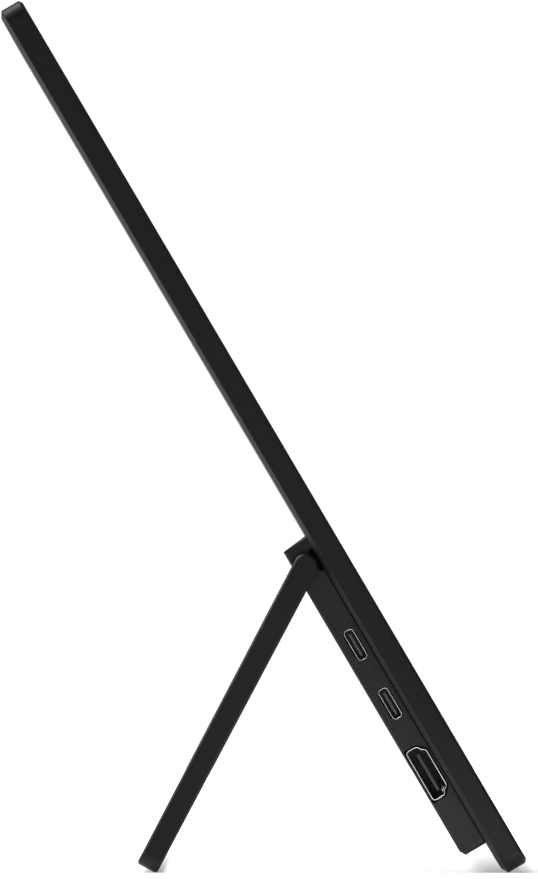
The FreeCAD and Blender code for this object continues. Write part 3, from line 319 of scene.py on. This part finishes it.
frame_white = blasted(
    "frame_white", dark=(0.7, 0.7, 0.68), light=(0.78, 0.78, 0.76), roughness=0.5, grain=0.3 * MM,
    depth=0.015 * MM)
coat(frame_white, "panel_frame")
plate_metal = spangled(
    "plate_metal", dark=(0.5, 0.51, 0.52), light=(0.62, 0.63, 0.64), roughness=0.38, size=PLATE_SPANGLE)
coat(plate_metal, "panel_back_plate")

# Lamp bar: a narrow white board with a row of lamps along the guide's lower edge.
# Each lamp is a small block of yellow phosphor resin, soldered down.
strip_white = blasted(
    "strip_white", dark=(0.78, 0.78, 0.76), light=(0.86, 0.86, 0.84), roughness=0.4, grain=0.5 * MM,
    depth=0.01 * MM)
coat(strip_white, "led_bar")
lamp_yellow = blasted(
    "lamp_yellow", dark=(0.72, 0.5, 0.06), light=(0.86, 0.68, 0.16), roughness=0.45, grain=0.2 * MM,
    depth=0.02 * MM)
coat(lamp_yellow, "led_packages")

# Panel tape: strips of black closed-cell foam, cut from sheet.
# Glue on both faces holds the panel in the tray.
FOAM_CELL = 0.35 * MM
FOAM_CELL_DEPTH = 0.08 * MM
foam_black, foam_tree, foam_surface = finish(
    "foam_black", colour=(0.02, 0.02, 0.02), roughness=0.9, gloss=0.2)
foam_cells = cells(foam_tree, FOAM_CELL)["Distance"]
tinted(foam_tree, foam_surface, foam_cells, (0.01, 0.01, 0.01), (0.03, 0.03, 0.031))
raised(foam_tree, foam_surface, foam_cells, FOAM_CELL_DEPTH)
coat(foam_black, "panel_tape")

# Circuit boards: the timing board below the panel, and the main and side boards in the box.
# Glass-fibre laminate under green solder mask, with the copper tracks showing through as paler lines.
WAVE_RATE = 20
TRACK_PITCH = 1.6 * MM
TRACK_WAVER = 3.0
TRACK_DEPTH = 0.02 * MM


def stripes(tree, pitch, along, waver=0.0, lean=0.0):
    """Bands from 0 to 1 along an axis turned by the lean, one for each pitch, which waver sideways.

    The wave's phase grows by its rate times its scale over each metre, and a band takes one full turn of it.
    """
    bands = tree.nodes.new("ShaderNodeTexWave")
    bands.bands_direction = along
    bands.inputs["Scale"].default_value = 2 * math.pi / (WAVE_RATE * pitch)
    bands.inputs["Distortion"].default_value = waver
    tree.links.new(placed(tree, lean=lean), bands.inputs["Vector"])
    return bands.outputs["Fac"]


board_green, board_tree, board_surface = finish("board_green", colour=(0.02, 0.1, 0.045), roughness=0.35)
tracks = stripes(board_tree, TRACK_PITCH, "X", waver=TRACK_WAVER)
tinted(
    board_tree, board_surface, tracks, (0.012, 0.075, 0.032), (0.014, 0.085, 0.036), (0.04, 0.17, 0.075))
raised(board_tree, board_surface, tracks, TRACK_DEPTH)
coat(board_green, "timing_board", "main_board", "side_board")

# Chips and small components on the boards, soldered down.
# Chips are black moulded resin. The others are ceramic blocks and coils in greys and tans.
chip_black = blasted(
    "chip_black", dark=(0.014, 0.014, 0.015), light=(0.022, 0.022, 0.023), roughness=0.6, grain=0.15 * MM,
    depth=0.015 * MM)
coat(chip_black, "timing_chips", "scaler_chip")
component_grey = blasted(
    "component_grey", dark=(0.09, 0.08, 0.07), light=(0.32, 0.27, 0.2), roughness=0.5, grain=0.2 * MM,
    depth=0.01 * MM)
coat(component_grey, "board_components")

# Heat pad and shield can over the main chip: a soft grey silicone pad, cut from sheet.
# The can over it is drawn from tin-plated steel and soldered to the board.
STREAK_WIDTH = 0.12 * MM
STREAK_DEPTH = 0.003 * MM
STREAK_DRIFT = 3 * MM
STREAK_SMOOTHER, STREAK_ROUGHER = 0.08, 0.1
pad_grey = blasted(
    "pad_grey", dark=(0.24, 0.25, 0.27), light=(0.3, 0.31, 0.33), roughness=0.8, grain=0.3 * MM,
    depth=0.02 * MM, gloss=0.3)
coat(pad_grey, "heat_pad")


def brushed(name, dark, light, roughness, stretch):
    """Metal drawn or turned along one axis: fine streaks in its colour, gloss and height."""
    material, tree, surface = finish(name, light, roughness, metal=1.0)
    streaks = lumps(tree, STREAK_WIDTH, detail=4.0, stretch=stretch)
    tinted(tree, surface, lumps(tree, STREAK_DRIFT, detail=3.0, stretch=stretch), dark, light)
    streaked = ranged(tree, streaks, roughness - STREAK_SMOOTHER, roughness + STREAK_ROUGHER)
    tree.links.new(streaked, surface.inputs["Roughness"])
    raised(tree, surface, streaks, STREAK_DEPTH)
    return material


can_steel = brushed(
    "can_steel", dark=(0.58, 0.58, 0.57), light=(0.7, 0.7, 0.69), roughness=0.32, stretch=(0.05, 1.0, 1.0))
coat(can_steel, "shield_can")

# Flexes, flat cables and leads: amber film with copper lines, white flat cable, and red insulated leads.
# They are pressed into cream nylon cable sockets.
FLEX_LINE_PITCH = 0.5 * MM
FLEX_LINE_DEPTH = 0.01 * MM
CABLE_RIB_PITCH = 1.0 * MM
CABLE_RIB_DEPTH = 0.04 * MM
flex_amber, flex_tree, flex_surface = finish("flex_amber", colour=(0.5, 0.22, 0.04), roughness=0.3)
flex_lines = stripes(flex_tree, FLEX_LINE_PITCH, "X")
tinted(flex_tree, flex_surface, flex_lines, (0.36, 0.13, 0.02), (0.58, 0.28, 0.07))
raised(flex_tree, flex_surface, flex_lines, FLEX_LINE_DEPTH)
coat(flex_amber, "panel_flexes")
cable_white, cable_tree, cable_surface = finish("cable_white", colour=(0.78, 0.78, 0.75), roughness=0.45)
cable_ribs = stripes(cable_tree, CABLE_RIB_PITCH, "X")
tinted(cable_tree, cable_surface, cable_ribs, (0.66, 0.66, 0.63), (0.82, 0.82, 0.79))
raised(cable_tree, cable_surface, cable_ribs, CABLE_RIB_DEPTH)
coat(cable_white, "display_cable", "key_cable")
lead_red = blasted(
    "lead_red", dark=(0.42, 0.03, 0.02), light=(0.55, 0.045, 0.03), roughness=0.4, grain=0.5 * MM,
    depth=0.01 * MM)
coat(lead_red, "speaker_leads")
socket_cream = blasted(
    "socket_cream", dark=(0.7, 0.64, 0.5), light=(0.78, 0.72, 0.58), roughness=0.45, grain=0.2 * MM,
    depth=0.01 * MM)
coat(socket_cream, "cable_sockets")

# Standoffs and screws: the pillars are turned from brass and pressed into the tray.
# The screws are rolled from steel and plated with zinc.
standoff_brass = brushed(
    "standoff_brass", dark=(0.6, 0.42, 0.16), light=(0.75, 0.56, 0.25), roughness=0.28,
    stretch=(1.0, 1.0, 0.2))
coat(standoff_brass, "board_standoffs")
screw_steel = brushed(
    "screw_steel", dark=(0.4, 0.4, 0.41), light=(0.55, 0.55, 0.56), roughness=0.3, stretch=(1.0, 1.0, 0.2))
coat(screw_steel, "board_screws", "cover_screws", "hinge_screws")

# Data sockets: two oval shells, drawn from stainless strip with a rolled lip.
# They are soldered to the main board's edge, and a dark tongue in each carries gilded contacts.
DATA_HALF_LENGTH = 4.47 * MM
DATA_HALF_HEIGHT = 1.42 * MM
DATA_CORNER = 1.05 * MM
DATA_WALL = 0.24 * MM
DATA_FLARE = 0.0
DATA_TONGUE_EDGE = 0.2 * MM
ARC_STEPS = 24
NEAR_FACE = 0.02 * MM


def wrapped(rows, columns):
    """The four corners of each cell of a grid whose rows and columns both close on themselves."""
    row, column = np.meshgrid(np.arange(rows), np.arange(columns), indexing="ij")
    next_row, next_column = (row + 1) % rows, (column + 1) % columns
    corners = [
        row * columns + column, next_row * columns + column, next_row * columns + next_column,
        row * columns + next_column]
    return np.stack(corners, axis=-1).reshape(-1, 4)


def in_socket(mount, flat, depth):
    """Points at flat places along and across a socket's mouth, and into the box by the depth."""
    return (
        np.array(mount["pos_m"]) + flat[..., :1] * UPWARD + flat[..., 1:] * BACKWARD
        - depth * np.array(mount["axis"]))


def shell(name, mount, outline, wall, flare, depth):
    """A steel tube round an outline in the box's side wall, with a rolled lip at its mouth.

    Point (i, j) lies at outline point i, moved in along the outline's normal by the first value of profile
    point j and into the box by its second. The profile runs up the outside, out by the flare along a cosine
    over twice the wall's thickness, over a half circle as wide as the wall, and back down the inside.
    """
    rise = np.linspace(0, 1, ARC_STEPS // 4 + 1)
    side = np.stack([flare * (np.cos(math.pi * rise) - 1) / 2, wall / 2 + (1 - rise) * 2 * wall], axis=1)
    turn = np.linspace(0, math.pi, ARC_STEPS // 2 + 1)[1:-1]
    lip = np.stack([wall / 2 * (1 - np.cos(turn)) - flare, wall / 2 * (1 - np.sin(turn))], axis=1)
    profile = np.concatenate([[[0.0, depth]], side, lip, side[::-1] + [wall, 0.0], [[wall, depth]]])
    tangent = np.roll(outline, -1, axis=0) - np.roll(outline, 1, axis=0)
    tangent /= np.linalg.norm(tangent, axis=1, keepdims=True)
    inward = np.stack([-tangent[:, 1], tangent[:, 0]], axis=1)
    flat = outline[:, None, :] + profile[None, :, :1] * inward[:, None, :]
    points = in_socket(mount, flat, profile[None, :, 1:])
    mesh = bpy.data.meshes.new(name)
    mesh.from_pydata(points.reshape(-1, 3).tolist(), [], wrapped(len(outline), len(profile)).tolist())
    return added(name, mesh, "monitor", socket_steel)


def at_mouth(places):
    """Whether a place is at the end of a tongue that shows in its socket's mouth."""
    return places[:, 0] < places[:, 0].min() + NEAR_FACE


half_turn = np.linspace(-math.pi / 2, math.pi / 2, ARC_STEPS)
end_arc = DATA_CORNER * np.stack([np.cos(half_turn), np.sin(half_turn)], axis=1)
end_arc[:, 0] += DATA_HALF_LENGTH - DATA_CORNER
end_arc[:, 1] += np.sign(half_turn) * (DATA_HALF_HEIGHT - DATA_CORNER)
oval = np.concatenate([end_arc, -end_arc])
socket_steel = brushed(
    "socket_steel", dark=(0.6, 0.6, 0.6), light=(0.78, 0.78, 0.78), roughness=0.22, stretch=(0.1, 1.0, 1.0))
# The data tongues' dark grey is painted lighter than their plastic, a painted light for the dim inside of the
# shells.
tongue_grey_painted_light = blasted(
    "tongue_grey_painted_light", dark=(0.07, 0.07, 0.071), light=(0.09, 0.09, 0.091), roughness=0.4, grain=0.1 * MM,
    depth=0.008 * MM)
for place in ("upper", "lower"):
    low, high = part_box(f"data_socket_shell_{place}")
    data_shell = shell(
        f"data_shell_{place}", mounts[f"data_socket_{place}"], oval, DATA_WALL, DATA_FLARE, high[0] - low[0])
    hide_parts(f"data_socket_shell_{place}")
    eased(f"data_socket_tongue_{place}", "monitor", tongue_grey_painted_light, DATA_TONGUE_EDGE, at_mouth)
# Gilded contacts whose gold is painted dark, a painted shade for the dim inside of the sockets.
contact_gold = brushed(
    "contact_gold", dark=(0.11, 0.088, 0.05), light=(0.16, 0.13, 0.078), roughness=0.34,
    stretch=(0.2, 1.0, 1.0))
coat(contact_gold, "data_socket_contacts", "video_socket_contacts")

# Video socket: a larger shell with one narrow side, whose corners step in along soft curves.
# Drawn steel with a rolled lip, soldered to the main board, round a black ribbed tongue.
# Its half outline is given along and across the mouth, from the wide side to the narrow one.
VIDEO_HALF = np.array([
    (6.2, 2.55), (6.9, 2.5), (7.25, 2.15), (7.35, 1.5), (7.33, 0.2), (7.28, -0.45), (6.98, -0.95),
    (6.5, -1.22), (6.1, -1.5), (5.8, -1.95), (5.5, -2.38), (5.05, -2.55), (4.4, -2.55)]) * MM
VIDEO_WALL = 0.35 * MM
VIDEO_FLARE = 0.16 * MM
VIDEO_TONGUE_EDGE = 0.36 * MM
VIDEO_RIB_PITCH = 0.6 * MM
VIDEO_RIB_DEPTH = 0.03 * MM
ROUNDINGS = 2


def corner_cut(polygon, rounds):
    """A closed polygon with its corners cut.

    Each round puts a point a quarter and three quarters along each side.
    """
    for _ in range(rounds):
        after = np.roll(polygon, -1, axis=0)
        near, far = 0.75 * polygon + 0.25 * after, 0.25 * polygon + 0.75 * after
        polygon = np.stack([near, far], axis=1).reshape(-1, 2)
    return polygon


low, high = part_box("video_socket_shell")
video_outline = np.concatenate([VIDEO_HALF, VIDEO_HALF[::-1] * (-1, 1)])[::-1]
video_shell = shell(
    "video_shell", mounts["video_socket"], corner_cut(video_outline, ROUNDINGS), VIDEO_WALL, VIDEO_FLARE,
    high[0] - low[0])
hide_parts("video_socket_shell")
tongue_black, tongue_tree, tongue_surface = finish("tongue_black", colour=(0.03, 0.03, 0.03), roughness=0.45)
tongue_ribs = stripes(tongue_tree, VIDEO_RIB_PITCH, "Y", lean=math.atan2(UPWARD[1], BACKWARD[1]))
tinted(tongue_tree, tongue_surface, tongue_ribs, (0.02, 0.02, 0.02), (0.05, 0.05, 0.05))
raised(tongue_tree, tongue_surface, tongue_ribs, VIDEO_RIB_DEPTH)
eased("video_socket_tongue", "monitor", tongue_black, VIDEO_TONGUE_EDGE, at_mouth)

# Leaf spring: a strip of tinned steel in the lower step of the video socket's shell, which grips the plug.
# It is bent out of the shell and bows in along the plug's way.
SPRING_START, SPRING_END = 0.4 * MM, 3.4 * MM
SPRING_FEET = np.array([(-6.3, -0.75), (-5.3, -1.75)]) * MM
SPRING_INWARD = np.array([1.0, 1.0]) / math.sqrt(2)
SPRING_BOW = 0.5 * MM
SPRING_THICKNESS = 0.16 * MM
SPRING_COLUMNS = 4


def leaf_spring(name, mount):
    """A leaf inside the step at the lower end of the video shell.

    Point (i, j) lies at depth i and width j, between the leaf's two feet on the step.
    It bows in from the step by half a sine along the depth.
    """
    depth, width = np.meshgrid(
        np.linspace(SPRING_START, SPRING_END, ARC_STEPS), np.linspace(0, 1, SPRING_COLUMNS), indexing="ij")
    bow = SPRING_BOW * np.sin(math.pi * (depth - SPRING_START) / (SPRING_END - SPRING_START))
    step = SPRING_FEET[0] + width[..., None] * (SPRING_FEET[1] - SPRING_FEET[0])
    points = in_socket(mount, step + bow[..., None] * SPRING_INWARD, depth[..., None])
    rows, columns = depth.shape
    starts = (np.arange(rows - 1)[:, None] * columns + np.arange(columns - 1)).ravel()
    faces = np.stack([starts, starts + 1, starts + columns + 1, starts + columns], axis=1)
    mesh = bpy.data.meshes.new(name)
    mesh.from_pydata(points.reshape(-1, 3).tolist(), [], faces.tolist())
    spring = added(name, mesh, "monitor", spring_tin)
    thickness = spring.modifiers.new("strip", "SOLIDIFY")
    thickness.thickness = SPRING_THICKNESS
    thickness.offset = 0.0


spring_tin = brushed(
    "spring_tin", dark=(0.75, 0.75, 0.74), light=(0.85, 0.85, 0.84), roughness=0.4, stretch=(0.1, 1.0, 1.0))
leaf_spring("video_spring", mounts["video_socket"])

# Box cover: the shallow lid over the boards, moulded with its grille slots, socket openings and screw posts.
# Black polycarbonate with a fine spark texture and rounded outer edges.
# Its foot is rounded more, up to the hinge notches, and leaves a fine dark joint along the case.
COVER_FOOT = 0.4 * MM
COVER_EDGE_SHARE = 0.3
COVER_END = 2.0 * MM
COVER_WALL = 0.95 * MM
HINGE_END = 5.0 * MM
cover_black = blasted(
    "cover_black", dark=(0.008, 0.0078, 0.0079), light=(0.011, 0.0106, 0.0107), roughness=0.5,
    grain=0.28 * MM, depth=0.018 * MM, gloss=0.38)
cover_low, cover_high = case_box("box_cover")


def cover_rounding(places):
    """The share of the foot's rounding that a place on the cover has.

    It is all of it along the foot below the hinge, a part on the back and side faces and round the lower end,
    and none inside.
    """
    inset = np.minimum(places - cover_low, cover_high - places)
    inside = (inset[:, 0] > COVER_WALL) & (inset[:, 1] > COVER_WALL)
    at_lower_end = (places[:, 1] - cover_low[1] < COVER_END) & ~inside
    on_face = (inset[:, 0] < NEAR_FACE) | (cover_high[2] - places[:, 2] < NEAR_FACE)
    at_case = places[:, 2] - cover_low[2] < NEAR_FACE
    below_hinge = cover_high[1] - places[:, 1] > HINGE_END
    return np.where(at_case, ~inside & below_hinge, COVER_EDGE_SHARE * (at_lower_end | on_face))


eased("box_cover", "monitor", cover_black, COVER_FOOT, cover_rounding)

# Headphone jack: a black moulded body, soldered to the side board.
# Its collar sits in the cover's wall.
jack_black = blasted(
    "jack_black", dark=(0.012, 0.012, 0.012), light=(0.018, 0.018, 0.018), roughness=0.4, grain=0.2 * MM,
    depth=0.01 * MM)
coat(jack_black, "headphone_jack")

# Keys: three small caps in the cover's far side wall, with flanges inside, over switches on the side board.
# The caps are moulded in the cover's plastic, with broken edges. The switches are moulded in black nylon.
KEY_EDGE = 0.2 * MM
key_black = blasted(
    "key_black", dark=(0.012, 0.012, 0.0125), light=(0.016, 0.016, 0.0165), roughness=0.42, grain=0.2 * MM,
    depth=0.012 * MM)


def anywhere(places):
    """Every place."""
    return np.ones(len(places), bool)


for key in ("power_key", "plus_key", "minus_key"):
    eased(key, key, key_black, KEY_EDGE, anywhere)
switch_black = blasted(
    "switch_black", dark=(0.015, 0.015, 0.016), light=(0.024, 0.024, 0.025), roughness=0.5, grain=0.15 * MM,
    depth=0.01 * MM)
coat(switch_black, "key_switches")

# Speakers: two slim moulded boxes behind the grille slots.
# Each holds a nickel-plated magnet and a pressed paper cone.
MAGNET_SPANGLE = 2 * MM
speaker_black = blasted(
    "speaker_black", dark=(0.012, 0.012, 0.013), light=(0.018, 0.018, 0.019), roughness=0.55, grain=0.3 * MM,
    depth=0.02 * MM)
coat(speaker_black, "speaker_frame_left", "speaker_frame_right")
magnet_iron = spangled(
    "magnet_iron", dark=(0.42, 0.41, 0.39), light=(0.52, 0.51, 0.49), roughness=0.3, size=MAGNET_SPANGLE)
coat(magnet_iron, "speaker_magnet_left", "speaker_magnet_right")
cone_paper = blasted(
    "cone_paper", dark=(0.018, 0.017, 0.016), light=(0.04, 0.038, 0.035), roughness=0.85, grain=0.5 * MM,
    depth=0.05 * MM, gloss=0.2)
coat(cone_paper, "speaker_cone_left", "speaker_cone_right")

# Hinges: pressed brackets screwed to the tray, with a turned shaft, spring washers and a nut in each.
# Brackets are steel under dull black paint, coloured darker still as painted shade for the pocket beside the
# stand's hub. Shafts, washers and nuts are plain steel.
bracket_black = blasted(
    "bracket_black", dark=(0.0015, 0.0015, 0.0015), light=(0.003, 0.003, 0.003), roughness=0.75,
    grain=0.4 * MM, depth=0.01 * MM, gloss=0.12)
coat(bracket_black, "hinge_bracket_left", "hinge_bracket_right")
shaft_steel = brushed(
    "shaft_steel", dark=(0.3, 0.3, 0.3), light=(0.42, 0.42, 0.42), roughness=0.3, stretch=(0.2, 1.0, 1.0))
coat(shaft_steel, "hinge_shaft_left", "hinge_shaft_right", "hinge_washers", "hinge_nuts")

# Stand bail: a flat U of aluminium, milled with chamfers round its outside and pressed on the hinge shafts.
# Blasted and anodised like the case, and a little smoother from handling.
BAIL_EDGE = 0.1 * MM
bail_black = blasted(
    "bail_black", dark=(0.0045, 0.0045, 0.0048), light=(0.0065, 0.0065, 0.0068), roughness=0.44,
    grain=0.22 * MM, depth=0.012 * MM, gloss=0.27)
eased("stand_bail", "stand", bail_black, BAIL_EDGE, anywhere)

# Floor: a plain pale sheet whose surface glows, a painted glow rather than a lamp.
# The painted glow grows away from the camera over the object's width and washes out the far part of the
# object's shadow, so the near foot keeps its shadow.
FLOOR_REACH = 3.0
FLOOR_DRIFT = 0.3
GLOW_NEAR, GLOW_FAR = 0.3, 1.0
GLOW_START, GLOW_END = -0.22, 0.2
floor_corners = FLOOR_REACH * np.array([(-1, -1, 0), (1, -1, 0), (1, 1, 0), (-1, 1, 0)])
floor_mesh = bpy.data.meshes.new("floor")
floor_mesh.from_pydata(floor_corners.tolist(), [], [(0, 1, 2, 3)])
floor = bpy.data.objects.new("floor", floor_mesh)
bpy.context.scene.collection.objects.link(floor)
floor_white, floor_tree, floor_surface = finish(
    "floor_white", colour=(0.9, 0.9, 0.9), roughness=0.8, gloss=0.1)
floor_surface.inputs["Emission Color"].default_value = (1.0, 1.0, 1.0, 1.0)
floor_across = floor_tree.nodes.new("ShaderNodeSeparateXYZ")
floor_tree.links.new(placed(floor_tree), floor_across.inputs["Vector"])
# Painted glow: emission that rises from near to far and washes out the far part of the shadow under the
# object.
floor_painted_glow = ranged(
    floor_tree, floor_across.outputs["X"], GLOW_NEAR, GLOW_FAR, start=GLOW_START, end=GLOW_END)
floor_tree.links.new(floor_painted_glow, floor_surface.inputs["Emission Strength"])
tinted(floor_tree, floor_surface, lumps(floor_tree, FLOOR_DRIFT), (0.88, 0.88, 0.88), (0.9, 0.9, 0.9))
floor_mesh.materials.append(floor_white)

# Surround: white all round the floor.
# Only the camera sees it at full strength, so the dark case isn't flooded with light from its own side.
SURROUND_FOR_CAMERA = 1.1
SURROUND_FOR_LIGHT = 0.12
world = bpy.data.worlds.new("studio")
world.use_nodes = True
bpy.context.scene.world = world
surround = world.node_tree.nodes["Background"]
seen = world.node_tree.nodes.new("ShaderNodeLightPath")
level = world.node_tree.nodes.new("ShaderNodeMapRange")
level.inputs["To Min"].default_value = SURROUND_FOR_LIGHT
level.inputs["To Max"].default_value = SURROUND_FOR_CAMERA
world.node_tree.links.new(seen.outputs["Is Camera Ray"], level.inputs["Value"])
world.node_tree.links.new(level.outputs["Result"], surround.inputs["Strength"])
surround.inputs["Color"].default_value = (1.0, 1.0, 1.0, 1.0)

# Lamps: a broad soft sun from behind and above, and a box low behind for the stand's edge.
# Two weak boxes fill in from above and from the screen's side, and a card on the floor lifts the socket wall.
# Powers are watts, and the sun's is watts for each square metre.
AIM = (0, 0, 0.1)
SUN_BREADTH = math.radians(45)
CARD_ACROSS, CARD_BACK = -0.232, -0.06
CARD_LIFT, CARD_TARGET = 0.002, 1.0


def lamp(name, kind, place, target, power):
    """A light of one kind at a place, turned to its target and out of the camera's sight."""
    light = bpy.data.lights.new(name, kind)
    light.energy = power
    holder = bpy.data.objects.new(name, light)
    holder.visible_camera = False
    holder.location = place
    holder.rotation_mode = "QUATERNION"
    holder.rotation_quaternion = (Vector(target) - Vector(place)).to_track_quat("-Z", "Y")
    bpy.context.scene.collection.objects.link(holder)
    return light


def soft_box(name, place, target, width, height, power):
    """A rectangular soft box."""
    light = lamp(name, "AREA", place, target, power)
    light.shape = "RECTANGLE"
    light.size = width
    light.size_y = height


side_light = lamp("side_light", "SUN", place=(0.4, 2.0, 2.7), target=(0, 0, 0), power=3.1)
side_light.angle = SUN_BREADTH
soft_box("edge_box", place=(0.3, 2.2, 1.0), target=AIM, width=1.2, height=0.6, power=10)
soft_box("top_box", place=(-0.3, -0.5, 1.7), target=AIM, width=1.0, height=1.0, power=6)
soft_box("front_box", place=(-0.6, -2.2, 1.2), target=AIM, width=1.6, height=0.8, power=3)
soft_box(
    "low_card", place=(CARD_ACROSS, CARD_BACK, CARD_LIFT), target=(CARD_ACROSS, CARD_BACK, CARD_TARGET),
    width=0.03, height=0.12, power=0.018)

# Camera: off to the left with a long lens, level with the stand's hinge.
# From there the far arm hides behind the near one. The shifts, in pixels, frame the object.
LENS = 984
SENSOR = 36
CAMERA_DISTANCE = 6.509
CAMERA_SIGHT = 100
FRAME_HEIGHT = 879
SHIFT_ACROSS, SHIFT_UP = -36.9, 126.4
hinge = next(joint for joint in frame["record"]["behaviour"]["joints"] if joint["name"] == "stand_hinge")
eye = bpy.data.cameras.new("camera")
eye.lens = LENS
eye.sensor_width = SENSOR
eye.clip_end = CAMERA_SIGHT
eye.shift_x = SHIFT_ACROSS / FRAME_HEIGHT
eye.shift_y = SHIFT_UP / FRAME_HEIGHT
camera = bpy.data.objects.new("camera", eye)
camera.location = (-CAMERA_DISTANCE, hinge["pos_m"][1], hinge["pos_m"][2])
camera.rotation_euler = (math.pi / 2, 0, -math.pi / 2)
bpy.context.scene.collection.objects.link(camera)
bpy.context.scene.camera = camera
bpy.context.scene.view_settings.view_transform = "Standard"
